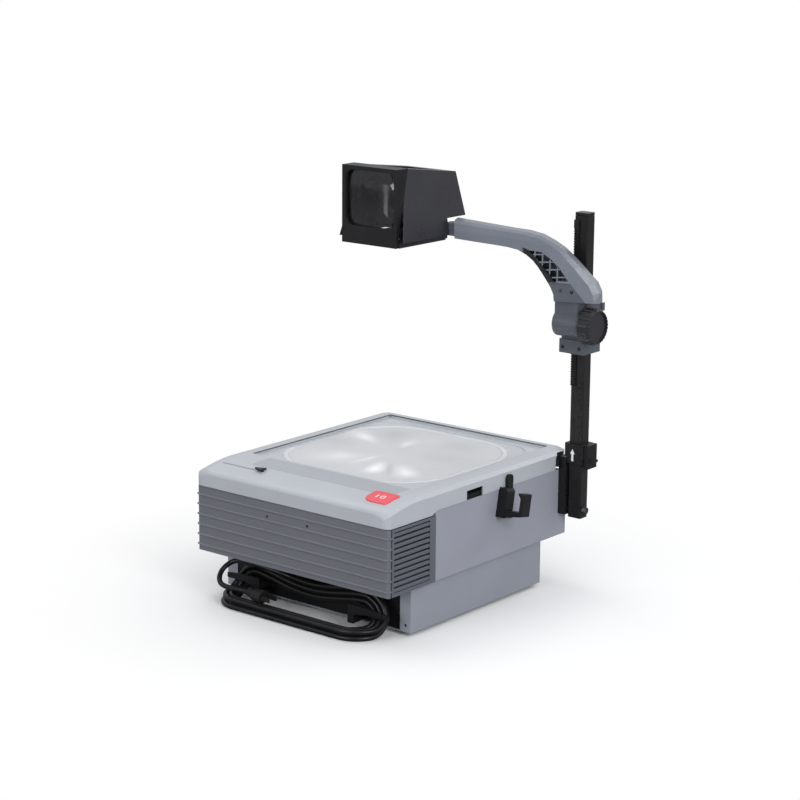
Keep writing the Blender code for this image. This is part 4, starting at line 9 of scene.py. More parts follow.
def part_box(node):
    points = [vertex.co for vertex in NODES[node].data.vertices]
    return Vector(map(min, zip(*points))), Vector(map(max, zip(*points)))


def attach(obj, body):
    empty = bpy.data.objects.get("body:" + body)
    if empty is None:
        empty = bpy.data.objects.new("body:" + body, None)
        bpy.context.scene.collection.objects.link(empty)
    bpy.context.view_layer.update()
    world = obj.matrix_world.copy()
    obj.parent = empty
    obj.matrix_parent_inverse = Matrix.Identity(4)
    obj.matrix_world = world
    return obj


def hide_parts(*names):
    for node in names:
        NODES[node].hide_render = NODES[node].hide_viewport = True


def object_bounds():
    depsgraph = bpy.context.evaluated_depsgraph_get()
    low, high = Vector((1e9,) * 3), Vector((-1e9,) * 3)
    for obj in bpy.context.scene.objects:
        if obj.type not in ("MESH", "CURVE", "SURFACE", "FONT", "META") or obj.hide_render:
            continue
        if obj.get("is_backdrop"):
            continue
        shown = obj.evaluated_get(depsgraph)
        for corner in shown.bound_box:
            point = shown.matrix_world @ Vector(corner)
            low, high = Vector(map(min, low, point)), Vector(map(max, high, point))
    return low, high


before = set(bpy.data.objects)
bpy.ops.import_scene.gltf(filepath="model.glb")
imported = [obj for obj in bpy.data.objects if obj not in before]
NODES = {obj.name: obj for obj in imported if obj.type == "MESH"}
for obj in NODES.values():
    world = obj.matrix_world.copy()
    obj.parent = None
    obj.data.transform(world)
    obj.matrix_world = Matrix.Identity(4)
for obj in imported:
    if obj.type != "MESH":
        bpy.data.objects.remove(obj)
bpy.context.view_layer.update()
SCENE = bpy.context.scene
# The frame's origin in the machine's own measures, whose zero is the middle of the stage's width
OFF = Vector((0.03015, 0.00515, 0))


def at(x, y, z):
    """A point given in the machine's own measures, in metres."""
    return Vector((x, y, z)) - OFF


# Camera, set from the photo's vanishing lines: angles in radians, the lens in pixels of the picture
AZIMUTH, ELEVATION, ROLL = 0.6825, 0.2318, 0.0074
LENS_PIXELS, PICTURE_PIXELS, SENSOR = 2230.14, 800.0, 36.0
CAMERA_PLACE = at(1.8678, -2.2658, 0.9578)
back = Vector((math.sin(AZIMUTH) * math.cos(ELEVATION), -math.cos(AZIMUTH) * math.cos(ELEVATION), math.sin(ELEVATION)))
level_right = Vector((math.cos(AZIMUTH), math.sin(AZIMUTH), 0))
level_up = level_right.cross(-back)
right = level_right * math.cos(ROLL) + level_up * math.sin(ROLL)
up = level_up * math.cos(ROLL) - level_right * math.sin(ROLL)
cam_data = bpy.data.cameras.new("camera")
cam_data.sensor_width = SENSOR
cam_data.lens = LENS_PIXELS * SENSOR / PICTURE_PIXELS
cam_data.clip_start, cam_data.clip_end = 0.05, 60.0
cam = bpy.data.objects.new("camera", cam_data)
SCENE.collection.objects.link(cam)
cam.matrix_world = Matrix.Translation(CAMERA_PLACE) @ Matrix((right, up, back)).transposed().to_4x4()
SCENE.camera = cam
SCENE.view_settings.view_transform = "Standard"


# Materials
class Tree:
    """The node tree of a material or world. A value given to its nodes is another node's output or plain numbers."""

    def __init__(self, owner):
        owner.use_nodes = True
        self.owner = owner
        self.nodes, self.links = owner.node_tree.nodes, owner.node_tree.links

    def put(self, value, socket):
        if hasattr(value, "is_output"):
            self.links.new(value, socket)
        else:
            socket.default_value = value

    def fill(self, node, **inputs):
        """Puts values into a node's inputs, named with _ for each space."""
        for key, value in inputs.items():
            self.put(value, node.inputs[key.replace("_", " ")])
        return node

    def new(self, kind, **inputs):
        return self.fill(self.nodes.new("ShaderNode" + kind), **inputs)

    def place(self):
        return self.new("TexCoord").outputs["Object"]

    def axes(self, vector):
        return self.new("SeparateXYZ", Vector=vector).outputs

    def noise(self, source, scale, detail=3.0, rough=0.55, stretch=None):
        if stretch:
            source = self.new("Mapping", Vector=source, Scale=stretch).outputs["Vector"]
        return self.new("TexNoise", Vector=source, Scale=scale, Detail=detail, Roughness=rough).outputs["Fac"]

    def span(self, value, low, high, start=0.3, end=0.7):
        """Carries a value from between start and end to between low and high, and holds it there."""
        node = self.new("MapRange", Value=value, From_Min=start, From_Max=end, To_Min=low, To_Max=high)
        return node.outputs["Result"]

    def mix(self, factor, a, b):
        """Mixes two colours, each an output or three numbers."""
        node = self.new("Mix")
        node.data_type = "RGBA"
        node.clamp_result = True
        self.put(factor, node.inputs[0])
        for socket, colour in ((node.inputs[6], a), (node.inputs[7], b)):
            self.put(colour if hasattr(colour, "is_output") else (*colour, 1), socket)
        return node.outputs[2]

    def maths(self, kind, *values):
        node = self.new("Math")
        node.operation = kind
        for socket, value in zip(node.inputs, values):
            self.put(value, socket)
        return node.outputs[0]

    def blend(self, factor, a, b):
        """Mixes two shaders."""
        node = self.new("MixShader")
        for socket, value in zip(node.inputs, (factor, a.outputs[0], b.outputs[0])):
            self.put(value, socket)
        return node

    def end(self, shader, output="Material Output"):
        self.put(shader.outputs[0], self.nodes[output].inputs["Surface"])
        return self.owner


def material(name):
    """A new material's tree and its main shader."""
    t = Tree(bpy.data.materials.new(name))
    return t, t.nodes["Principled BSDF"]


def shade(colour, k):
    return tuple(min(1.0, c * k) for c in colour)


PATCH_SCALE, SPECK_SCALE = 16.0, 352.0
DUST_COLOUR = (0.62, 0.61, 0.60)


def finish_look(name, colour, rough=0.45, metal=0.0, vary=0.05, grain=2400.0, bump=0.12, smudge=0.07, dust=0.06,
                scratch=0.0, ior=1.5, deep=None):
    """A worn, slightly uneven finish: soft patches and fine specks of colour, dust on what faces up, grain and dull
    spots. The last argument paints shade into recesses: it darkens along an axis of the object, from one place to
    another."""
    t, shader = material(name)
    place = t.place()
    big = t.noise(place, PATCH_SCALE, 4.0, 0.6)
    fine = t.noise(place, SPECK_SCALE, 2.0, 0.5)
    tone = t.mix(t.span(big, 0, 1), shade(colour, 1 - vary), shade(colour, 1 + vary))
    tone = t.mix(t.span(fine, 0, 0.5), tone, shade(colour, 1 - vary * 0.9))
    if dust:
        facing = t.axes(t.new("NewGeometry").outputs["Normal"])["Z"]
        lies = t.maths("MULTIPLY", t.span(facing, 0, dust, 0.2, 1.0), t.span(fine, 0.3, 1.0))
        tone = t.mix(lies, tone, DUST_COLOUR)
    # Painted shade in recesses: darker the deeper a face lies along the given axis
    if deep:
        axis, start, end, dark = deep
        tone = t.mix(t.span(t.axes(place)[axis], 0, 1, start, end), tone, shade(colour, dark))
    if scratch:
        line = t.noise(place, 60.0, 1.0, 0.4, (1.0, 14.0, 14.0))
        tone = t.mix(t.span(line, 0, scratch, 0.66, 0.70), tone, shade(colour, 1.5))
    t.fill(shader, Base_Color=tone, Roughness=t.span(big, rough - smudge, rough + smudge), Metallic=metal, IOR=ior)
    if bump:
        relief = t.new("Bump", Strength=bump, Distance=0.0002, Height=t.noise(place, grain, 2.0, 0.5))
        t.fill(shader, Normal=relief.outputs["Normal"])
    return t.owner


def glass_look(name, tint, rough):
    """Clear glass with faint smears."""
    t, shader = material(name)
    smear = t.noise(t.place(), 22.0, 5.0, 0.6)
    t.fill(shader, Base_Color=t.mix(t.span(smear, 0, 1), tint, shade(tint, 0.96)), IOR=1.5, Transmission_Weight=1.0,
           Roughness=t.span(smear, rough * 0.5, rough * 2.5))
    return t.owner


def pane_look(name, tint, shine):
    """A thin pane that lets light straight through, with a reflection that grows where it is seen at a slant."""
    t, _ = material(name)
    smear = t.noise(t.place(), 26.0, 5.0, 0.6)
    through = t.new("BsdfTransparent", Color=t.mix(t.span(smear, 0, 1), tint, shade(tint, 0.985)))
    gleam = t.new("BsdfGlossy", Roughness=t.span(smear, 0.01, 0.05))
    steep = t.maths("POWER", t.new("LayerWeight", Blend=0.5).outputs["Facing"], 5.0)
    return t.end(t.blend(t.maths("MULTIPLY", t.maths("ADD", steep, 0.04), shine), through, gleam))


# Painted highlights and painted shade round the lens sheet's middle. Each lobe: the way it points in degrees, half its
# width, where it is strongest, where it ends (metres), its strength, above 0 for a painted highlight and below 0 for
# painted shade
PAINTED_STAGE_LOBES = (
    (-65, 11, 0.090, 0.118, 1.0), (-41, 11, 0.112, 0.140, 0.75), (-125, 30, 0.070, 0.125, 0.35),
    (153, 10, 0.095, 0.140, 0.6), (105, 14, 0.050, 0.085, 0.5), (-95, 8, 0.040, 0.090, 0.5),
    (-53, 5, 0.090, 0.120, -0.4), (128, 22, 0.100, 0.150, -0.6), (15, 30, 0.080, 0.150, -0.20),
    (60, 30, 0.100, 0.150, -0.45), (180, 20, 0.100, 0.150, -0.25),
)


def fresnel_look(name):
    """Pale, finely grooved plastic, with pale and dark lobes round the middle painted in as highlights and shade, the
    pale ones also glowing a little.
    """
    t, shader = material(name)
    place = t.place()
    axes = t.axes(place)
    turn = t.maths("ARCTAN2", axes["Y"], axes["X"])
    squares = [t.maths("MULTIPLY", axes[key], axes[key]) for key in ("X", "Y")]
    away = t.maths("SQRT", t.maths("ADD", *squares))
    tone = t.mix(t.span(t.noise(place, 9.0, 2.0, 0.5), 0, 1), (0.68, 0.68, 0.705), (0.76, 0.76, 0.785))
    painted_glow = 0.0
    for aim, wide, near, far, power in PAINTED_STAGE_LOBES:
        off = t.maths("SUBTRACT", turn, math.radians(aim))
        off = t.maths("ABSOLUTE", t.maths("ARCTAN2", t.maths("SINE", off), t.maths("COSINE", off)))
        side = t.span(off, 1, 0, 0, math.radians(wide))
        along = t.maths("MULTIPLY", t.span(away, 0, 1, near * 0.5, near), t.span(away, 1, 0, near, far))
        lobe = t.maths("MULTIPLY", t.maths("MULTIPLY", side, along), abs(power))
        tone = t.mix(lobe, tone, (1.0, 1.0, 1.0) if power > 0 else (0.42, 0.42, 0.44))
        if power > 0:
            painted_glow = t.maths("ADD", painted_glow, lobe)
    wave = t.new("TexWave", Vector=place, Scale=90.0, Distortion=0.0)
    wave.wave_type = "RINGS"
    wave.rings_direction = "Z"
    groove = t.new("Bump", Strength=0.25, Distance=0.0003, Height=wave.outputs["Fac"])
    # The painted highlights also glow, as painted light
    t.fill(shader, Base_Color=tone, Emission_Color=(1, 1, 1, 1), Emission_Strength=t.maths("MULTIPLY", painted_glow, 0.28),
           Roughness=0.32, Normal=groove.outputs["Normal"])
    return t.owner


PANEL_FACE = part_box("front_panel")[0].y
ARM_FINISH = dict(colour=(0.178, 0.196, 0.234), rough=0.31, vary=0.06, bump=0.20, grain=1500)
FINISHES = {
    "cover": dict(colour=(0.452, 0.474, 0.512), rough=0.34, vary=0.03, grain=3000, bump=0.10, smudge=0.06),
    # The ribbed front: painted shade, darker in the grooves between its ribs
    "front": dict(colour=(0.185, 0.195, 0.222), rough=0.44, deep=("Y", PANEL_FACE + 0.0003, PANEL_FACE + 0.0018, 0.78)),
    "side": dict(colour=(0.318, 0.333, 0.390), vary=0.04),
    "base": dict(colour=(0.292, 0.313, 0.363)),
    "inner": dict(colour=(0.150, 0.155, 0.160), rough=0.55, vary=0.08),
    "arm": ARM_FINISH,
    "arm_foot": ARM_FINISH,
    "carriage": dict(colour=(0.086, 0.096, 0.116), rough=0.32, vary=0.06, bump=0.18, grain=1500),
    "hood": dict(colour=(0.022, 0.022, 0.029), rough=0.30, vary=0.12, bump=0.22, grain=1800, dust=0.012, ior=1.42),
    "mast": dict(colour=(0.014, 0.013, 0.0135), rough=0.30, vary=0.15, dust=0, scratch=0.35, ior=1.38),
    "black": dict(colour=(0.008, 0.008, 0.009), rough=0.42, vary=0.15, dust=0.006, ior=1.36),
    "rubber": dict(colour=(0.008, 0.008, 0.009), rough=0.60, vary=0.25, dust=0.01, bump=0.25, grain=1200, ior=1.35),
    "cord": dict(colour=(0.006, 0.006, 0.007), rough=0.34, vary=0.25, dust=0.005, bump=0.10, grain=900, ior=1.40),
    "red": dict(colour=(0.807, 0.080, 0.105), rough=0.36, dust=0),
    "steel": dict(colour=(0.60, 0.61, 0.62), rough=0.30, metal=1, vary=0.08, dust=0, scratch=0.2),
    "dark_steel": dict(colour=(0.10, 0.10, 0.105), rough=0.30, metal=0.9, vary=0.15, dust=0),
    "zinc": dict(colour=(0.35, 0.35, 0.36), metal=1, vary=0.12, dust=0),
    "copper": dict(colour=(0.35, 0.13, 0.06), rough=0.50, metal=0.3, vary=0.15),
    "silver": dict(colour=(0.80, 0.80, 0.79), rough=0.16, metal=1, vary=0.03, dust=0, bump=0.03),
    "mirror": dict(colour=(0.62, 0.61, 0.61), rough=0.16, metal=1, vary=0.03, smudge=0.05, dust=0, bump=0),
    "knob": dict(colour=(0.022, 0.022, 0.026), rough=0.27, vary=0.12, dust=0, bump=0.08),
    "pane_edge": dict(colour=(0.07, 0.10, 0.10), rough=0.25, vary=0.1, bump=0, dust=0),
    # The rim round the lens sheet: its lighter colour is a painted highlight band
    "rim": dict(colour=(0.80, 0.81, 0.84), rough=0.35, vary=0.02, dust=0),
    "surround": dict(colour=(0.60, 0.62, 0.66), rough=0.4, vary=0.02, dust=0),
    "print_white": dict(colour=(0.83, 0.83, 0.83), rough=0.5, vary=0.03, dust=0, bump=0.02),
    "strip": dict(colour=(0.365, 0.392, 0.425), rough=0.40, vary=0.03, bump=0.06),
    "screw_dark": dict(colour=(0.03, 0.03, 0.032), rough=0.35, vary=0.2, dust=0),
}
# The louvres: painted shade, near black deeper than 2 mm behind their outer face, between the slats
for name, side in (("louvre_left", -1), ("louvre_right", 1)):
    low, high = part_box(name)
    outer = (high.x if side > 0 else low.x) - NODES[name].matrix_world.translation.x
    FINISHES[name] = dict(colour=(0.108, 0.120, 0.145), rough=0.48,
                          deep=("X", outer - side * 0.0002, outer - side * 0.0022, 0.06))
LOOKS = {name: finish_look(name, **finish) for name, finish in FINISHES.items()}
LOOKS["glass"] = glass_look("glass", (0.93, 0.97, 0.95), 0.015)
LOOKS["lens"] = glass_look("lens", (0.90, 0.92, 0.95), 0.02)
LOOKS["pane"] = pane_look("pane", (0.985, 0.988, 0.990), 0.35)
LOOKS["lens_pane"] = pane_look("lens_pane", (0.82, 0.81, 0.82), 1.8)
LOOKS["fresnel"] = fresnel_look("fresnel")


# The arm's foot has the darker tone of the carriage, up to a dark seam that falls to the knob
SEAM_CORNER, SEAM_FALL = at(0.2023, 0, 0.4287), 1.345
FOOT_COLOUR, SEAM_COLOUR = (0.092, 0.102, 0.123), (0.03, 0.033, 0.04)
t = Tree(LOOKS["arm_foot"])
base_colour = t.nodes["Principled BSDF"].inputs["Base Color"]
axes = t.axes(t.place())
past = t.maths("MAXIMUM", t.maths("SUBTRACT", axes["X"], SEAM_CORNER.x), 0.0)
seam = t.maths("SUBTRACT", SEAM_CORNER.z, t.maths("MULTIPLY", past, SEAM_FALL))
under = t.maths("SUBTRACT", seam, axes["Z"])
tone = t.mix(t.span(under, 0, 1, 0.0, 0.0003), base_colour.links[0].from_socket, FOOT_COLOUR)
tone = t.mix(t.span(t.maths("ABSOLUTE", under), 1, 0, 0.0002, 0.0006), tone, SEAM_COLOUR)

# Painted shade below the arm's web, standing in for a shadowed recess, under a line through these points, each x and z
PAINTED_SHADE_LINE = (
    (0.1429, 0.4749), (0.1523, 0.4702), (0.1620, 0.4573), (0.1714, 0.4474), (0.1772, 0.4394), (0.1850, 0.4299))
PAINTED_SHADE_X, PAINTED_SHADE_Z = (0.1409, 0.1909), (0.42, 0.48)
PAINTED_SHADE_COLOUR = (0.012, 0.013, 0.015)
curve = t.new("FloatCurve", Value=t.span(axes["X"], 0, 1, *(at(x, 0, 0).x for x in PAINTED_SHADE_X)))
points = curve.mapping.curves[0].points
shares = [((x - PAINTED_SHADE_X[0]) / (PAINTED_SHADE_X[1] - PAINTED_SHADE_X[0]), (z - PAINTED_SHADE_Z[0]) / (PAINTED_SHADE_Z[1] - PAINTED_SHADE_Z[0]))
          for x, z in PAINTED_SHADE_LINE]
points[0].location, points[1].location = shares[0], shares[-1]
for share in shares[1:-1]:
    points.new(*share)
curve.mapping.update()
bound = t.span(curve.outputs["Value"], *PAINTED_SHADE_Z, 0, 1)
inside = t.span(t.maths("SUBTRACT", bound, axes["Z"]), 0, 1, -0.0004, 0.0004)
for value, low, high, start, end in ((under, 1, 0, -0.0012, -0.0006),
                                     (axes["X"], 0, 1, at(0.1405, 0, 0).x, at(0.1440, 0, 0).x),
                                     (axes["X"], 1, 0, at(0.1850, 0, 0).x, at(0.1860, 0, 0).x)):
    inside = t.maths("MULTIPLY", inside, t.span(value, low, high, start, end))
t.put(t.mix(inside, tone, PAINTED_SHADE_COLOUR), base_colour)

WEARS = {
    "cover": ("top_cover",),
    "front": ("front_panel",),
    "louvre_left": ("louvre_left",),
    "louvre_right": ("louvre_right",),
    "side": ("side_plate_left", "side_plate_right"),
    "base": ("pedestal_shell", "housing_tub"),
    "inner": ("condenser_bridge",),
    "surround": ("lens_frame",),
    "arm": ("head_knuckle",),
    "arm_foot": ("arm",),
    "carriage": ("carriage_housing",),
    "hood": ("head_hood", "head_tray"),
    "mast": ("mast_tube", "mast_bracket", "mast_cap", "mast_rack"),
    "black": ("pedestal_front_panel", "lens_bezel", "release_collar", "rest_lever", "cord_hook_left", "cord_hook_right",
              "power_switch", "changer_slider", "latch_tab", "fan_rotor", "fan_shroud"),
    "knob": ("focus_knob",),
    "rubber": ("foot_front_left", "foot_front_right", "foot_rear_left", "foot_rear_right", "strain_relief",
               "mains_plug"),
    "red": ("power_button",),
    "steel": ("pinion_shaft", "lid_hinge_rod", "lamp_rail"),
    "dark_steel": ("pivot_bolt",),
    "zinc": ("transformer_core", "fan_motor", "lamp_carriage"),
    "copper": ("transformer_coil",),
    "silver": ("reflector_main", "reflector_spare"),
    "mirror": ("head_mirror",),
    "glass": ("lamp_main", "lamp_spare"),
    "lens": ("condenser_lens",),
    "lens_pane": ("front_lens", "lower_lens"),
}


def wear(obj, look):
    """Puts one finish on every face of a piece."""
    for slot in obj.material_slots:
        slot.material = LOOKS[look]
    if not obj.material_slots:
        obj.data.materials.append(LOOKS[look])


for look, names in WEARS.items():
    for name in names:
        wear(NODES[name], look)


# Cord: lead, wound hank and tail in one unbroken run, on the same route as the plain cord. Metres, machine's measures
CORD = 0.0070
CORD_LOOPS = 5
ARC_STEPS, RUN_STEPS = ((14, 10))
HANK_MIDDLE, HANK_HALF, HANK_HEIGHT = 0.0030, 0.1350, 0.0866
HANK_TOP, HANK_BEND, HANK_SAG, HANK_SAG_HALF = 0.0560, 0.0270, 0.0130, 0.1000
SAG_FROM, SAG_TO = 0.0300, 0.0600
HANK_START_X, CLIMB = -0.0300, 0.5
CORD_SPARE, LAYER_SPARE, CORD_SEAT, HANK_BACK = 0.0009, 0.0022, 0.0004, 0.0020
PED_FRONT = -0.1410
GAP = 0.0003
RELIEF_TIP = 0.0620 - 0.0240
RELIEF_Y, RELIEF_Z = -0.1465, 0.0545
LEAD_ROUTE = ((0.0171, -0.1465, 0.05290), (0.0036, -0.1465, 0.0493), (-0.0100, -0.1465, 0.04575))
TURN_X, TURN_TOP, TURN_FOOT, TURN_STEPS = -0.1120, (-0.1665, 0.0540), (-0.1985, 0.0262), 6
TAIL_ROUTE = ((-0.0500, -0.1603, 0.0496), (-0.0800, -0.1650, 0.0535))
TAIL_END = (-0.0920, -0.1985, 0.0262)
PLUG_PLACE = Vector((-0.0700, -0.1985, 0.0265))
PLUG_AIM = Vector((1.0, -0.05, 0.0)).normalized()
LEAD_POINTS, TAIL_POINTS, SMOOTH_STEPS = 28, 60, 24


def on_sheet(x, along, layer):
    """The hank lies on a sheet that hangs before the pedestal, bends forward and rests on the floor."""
    step = CORD + LAYER_SPARE
    near = PED_FRONT - HANK_BACK - CORD / 2
    floor = CORD / 2 + CORD_SEAT
    centre_y, centre_z = near - step - HANK_BEND, floor + step + HANK_BEND
    fall = HANK_TOP - centre_z
    sag = HANK_SAG * max(0.0, 1 - (x / HANK_SAG_HALF) ** 2) ** 2
    sag *= min(1.0, max(0.0, (SAG_TO - along) / (SAG_TO - SAG_FROM)))
    if along < fall:
        return np.array((x, near - layer * step, HANK_TOP - along - sag))
    turn = (along - fall) / HANK_BEND
    if turn < math.pi / 2:
        radius = HANK_BEND + (1 - layer) * step
        return np.array((x, centre_y + radius * math.cos(turn), centre_z - radius * math.sin(turn) - sag))
    return np.array((x, centre_y - (along - fall - HANK_BEND * math.pi / 2), floor + layer * step))


def oval(share):
    """A point of the hank's middle loop, half circles joined by straight runs, and the way straight out of it there.
    Each quarter circle and each half run takes its own number of steps."""
    half = HANK_HEIGHT / 2 - (CORD + CORD_SPARE) * CORD_LOOPS / 4
    run = HANK_HALF - HANK_HEIGHT / 2
    steps = (share % 1.0) * 4 * (ARC_STEPS + RUN_STEPS / 2)
    lower = steps > 2 * ARC_STEPS + RUN_STEPS
    if lower:
        steps -= 2 * ARC_STEPS + RUN_STEPS
    if steps < ARC_STEPS:
        x, turn = run, math.pi / 2 * steps / ARC_STEPS
    elif steps < ARC_STEPS + RUN_STEPS:
        x, turn = run - 2 * run * (steps - ARC_STEPS) / RUN_STEPS, math.pi / 2
    else:
        x, turn = -run, math.pi / 2 * (steps - RUN_STEPS) / ARC_STEPS
    flip = -1 if lower else 1
    away = np.array((math.cos(turn), math.sin(turn))) * flip
    return np.array((x * flip, 0)) + away * half, away


def hank_points():
    """Loops run inward on the back layer, step over where they reverse, and run out on the front one."""
    pitch = CORD + CORD_SPARE
    middle, run = HANK_HEIGHT / 2, HANK_HALF - HANK_HEIGHT / 2
    around = 4 * (ARC_STEPS + RUN_STEPS / 2)
    begin = (ARC_STEPS + RUN_STEPS * (run - HANK_START_X) / (2 * run)) / around
    points = []
    for k in range(int(CORD_LOOPS * around) + 1):
        t = k / around
        climb = min(1.0, max(0.0, (t - CORD_LOOPS / 2) / CLIMB + 1 / 2))
        place, away = oval(begin + t)
        x, rise = place + away * pitch * (CORD_LOOPS / 4 - min(t, CORD_LOOPS - t))
        points.append(on_sheet(x + HANK_MIDDLE, middle - rise, climb * climb * (3 - 2 * climb)))
    return np.array(points)


def smooth_route(route, count):
    """Points evenly spaced along a centripetal curve through the route's own points."""
    points = np.array(route, dtype=float)
    ends = np.vstack([2 * points[0] - points[1], points, 2 * points[-1] - points[-2]])
    dense = []
    for k in range(1, len(ends) - 2):
        p = ends[k - 1:k + 3]
        t = np.concatenate([[0], np.cumsum(np.linalg.norm(np.diff(p, axis=0), axis=1) ** 0.5)])
        for s in np.linspace(t[1], t[2], SMOOTH_STEPS, endpoint=False):
            a = [(t[i + 1] - s) / (t[i + 1] - t[i]) * p[i] + (s - t[i]) / (t[i + 1] - t[i]) * p[i + 1]
                 for i in range(3)]
            b = [(t[i + 2] - s) / (t[i + 2] - t[i]) * a[i] + (s - t[i]) / (t[i + 2] - t[i]) * a[i + 1]
                 for i in range(2)]
            dense.append((t[2] - s) / (t[2] - t[1]) * b[0] + (s - t[1]) / (t[2] - t[1]) * b[1])
    dense = np.array(dense + [points[-1]])
    along = np.concatenate([[0], np.cumsum(np.linalg.norm(np.diff(dense, axis=0), axis=1))])
    return np.column_stack([np.interp(np.linspace(0, along[-1], count), along, dense[:, k]) for k in range(3)])


def unit(v):
    return v / np.linalg.norm(v)


hank = hank_points()
lead_start = np.array((RELIEF_TIP - GAP, RELIEF_Y, RELIEF_Z))
into = unit(hank[1] - hank[0])
lead_end = hank[0] - into * GAP
lead = smooth_route([lead_start, lead_start - np.array((CORD, 0, 0)), *LEAD_ROUTE, lead_end - into * CORD, lead_end],
                    LEAD_POINTS)
out = unit(hank[-1] - hank[-2])
tail_start = hank[-1] + out * GAP
plug_at, plug_aim = np.array(PLUG_PLACE), np.array(PLUG_AIM)
high, foot = (np.array((TURN_X, *p)) for p in (TURN_TOP, TURN_FOOT))
centre, reach = (high + foot) / 2, np.linalg.norm(high - foot) / 2
turns = [math.pi * k / TURN_STEPS for k in range(TURN_STEPS + 1)]
loop = [centre + math.cos(turn) * (high - centre) - np.array((math.sin(turn) * reach, 0, 0)) for turn in turns]
tail = smooth_route([tail_start, tail_start + out * CORD, *TAIL_ROUTE, *loop, np.array(TAIL_END),
                     plug_at - plug_aim * (CORD + GAP), plug_at - plug_aim * GAP], TAIL_POINTS)
route = np.vstack([lead, hank, tail]) - np.array(OFF)
curve = bpy.data.curves.new("power_cord", "CURVE")
curve.dimensions = "3D"
curve.bevel_depth = CORD / 2
curve.bevel_resolution = 4
curve.use_fill_caps = True
spline = curve.splines.new("POLY")
spline.points.add(len(route) - 1)
for point, place in zip(spline.points, route):
    point.co = (*place, 1)
spline.use_smooth = True
cord = bpy.data.objects.new("power_cord", curve)
SCENE.collection.objects.link(cord)
wear(cord, "cord")
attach(cord, "base")
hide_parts("cord_lead", "cord_hank", "cord_tail")


# Softened edges on the plain pieces, as modifiers
def soften(name, width):
    obj = NODES[name]
    weld = obj.modifiers.new("weld", "WELD")
    weld.merge_threshold = 0.00002
    bevel = obj.modifiers.new("bevel", "BEVEL")
    bevel.width = width
    bevel.segments = 2
    bevel.limit_method = "ANGLE"
    bevel.angle_limit = math.radians(35)
    bevel.harden_normals = True
    bevel.use_clamp_overlap = True


for name in ("cord_hook_left", "cord_hook_right", "rest_lever", "release_collar", "carriage_housing", "head_tray",
             "lens_bezel", "latch_tab", "mast_bracket", "pedestal_shell", "mast_cap", "head_knuckle"):
    soften(name, 0.0006)
for name in ("mast_tube", "head_hood"):
    soften(name, 0.0009)
soften("power_button", 0.0007)


# Small tools for new pieces
def piece(name, bm, look, body, smooth=False, origin=None):
    """Ends a mesh as a piece: its finish, its body, its material slot and, where given, its own origin."""
    mesh = bpy.data.meshes.new(name)
    bmesh.ops.recalc_face_normals(bm, faces=bm.faces)
    if origin is not None:
        bmesh.ops.translate(bm, vec=-Vector(origin), verts=bm.verts)
    bm.to_mesh(mesh)
    bm.free()
    for face in mesh.polygons:
        face.use_smooth = smooth
    obj = bpy.data.objects.new(name, mesh)
    SCENE.collection.objects.link(obj)
    if origin is not None:
        obj.location = origin
    wear(obj, look)
    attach(obj, body)
    return obj


def joined(bm, lines, closed):
    """Faces between closed lines of points of equal number, and from the last line to the first if closed."""
    made = [[bm.verts.new(p) for p in line] for line in lines]
    for a, b in zip(made, made[1:] + made[:1] if closed else made[1:]):
        for k in range(len(a)):
            bm.faces.new((a[k], a[(k + 1) % len(a)], b[(k + 1) % len(a)], b[k]))
    return made


def block(lines, bm=None):
    """A solid through lines of points, filled at both ends."""
    bm = bmesh.new() if bm is None else bm
    made = joined(bm, lines, False)
    bm.faces.new(made[0][::-1])
    bm.faces.new(made[-1])
    return bm


def band(lines, bm=None):
    """A ring whose section runs through lines of points."""
    bm = bmesh.new() if bm is None else bm
    joined(bm, lines, True)
    return bm


def circle(radius, steps):
    turns = [2 * math.pi * k / steps for k in range(steps)]
    return [(radius * math.cos(turn), radius * math.sin(turn)) for turn in turns]


def rounded_square(half_x, half_y, corner, steps):
    points = []
    for cx, cy, start in ((1, 1, 0), (-1, 1, 90), (-1, -1, 180), (1, -1, 270)):
        for k in range(steps + 1):
            turn = math.radians(start + 90 * k / steps)
            points.append((cx * (half_x - corner) + corner * math.cos(turn),
                           cy * (half_y - corner) + corner * math.sin(turn)))
    return points


# The stage: clear glass that lets light through, a finely grooved lens sheet and its pale surround
glass_low, glass_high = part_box("stage_glass")
glass_mid = (glass_low + glass_high) / 2
glass_half = (glass_high - glass_low) / 2


def glass_line(inset, z, corner=0.003, steps=5):
    """The glass's outline, moved inward."""
    return [(glass_mid.x + u, glass_mid.y + v, z)
            for u, v in rounded_square(glass_half.x - inset, glass_half.y - inset, corner, steps)]


EDGE = 0.0005
pane = piece("stage_pane", block([glass_line(inset, z) for z, inset in (
    (glass_low.z, EDGE), (glass_low.z + EDGE, 0), (glass_high.z - EDGE, 0), (glass_high.z, EDGE))]),
             "pane", "lid")
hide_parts("stage_glass")
piece("glass_edge", band([glass_line(inset, glass_high.z + lift) for inset, lift in (
    (-0.0002, -0.0010), (-0.0002, 0.0003), (0.0009, 0.0003), (0.0009, -0.0010))]), "pane_edge", "lid")

# The sheet stands a little off the middle of the opening, and the middle of its grooves off its own
SHEET_SHIFT, SHEET_CORNER, FOCUS_SHIFT = Vector((-0.0065, -0.0050, 0)), 0.085, 0.006
lens_low, lens_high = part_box("fresnel_lens")
lens_mid = (lens_low + lens_high) / 2 + SHEET_SHIFT
lens_half = (lens_high.x - lens_low.x) / 2
lens_outline = rounded_square(lens_half, lens_half, SHEET_CORNER, 16)


def lens_line(share, z):
    """The sheet's outline, scaled about its middle."""
    return [(lens_mid.x + u * share, lens_mid.y + v * share, z) for u, v in lens_outline]


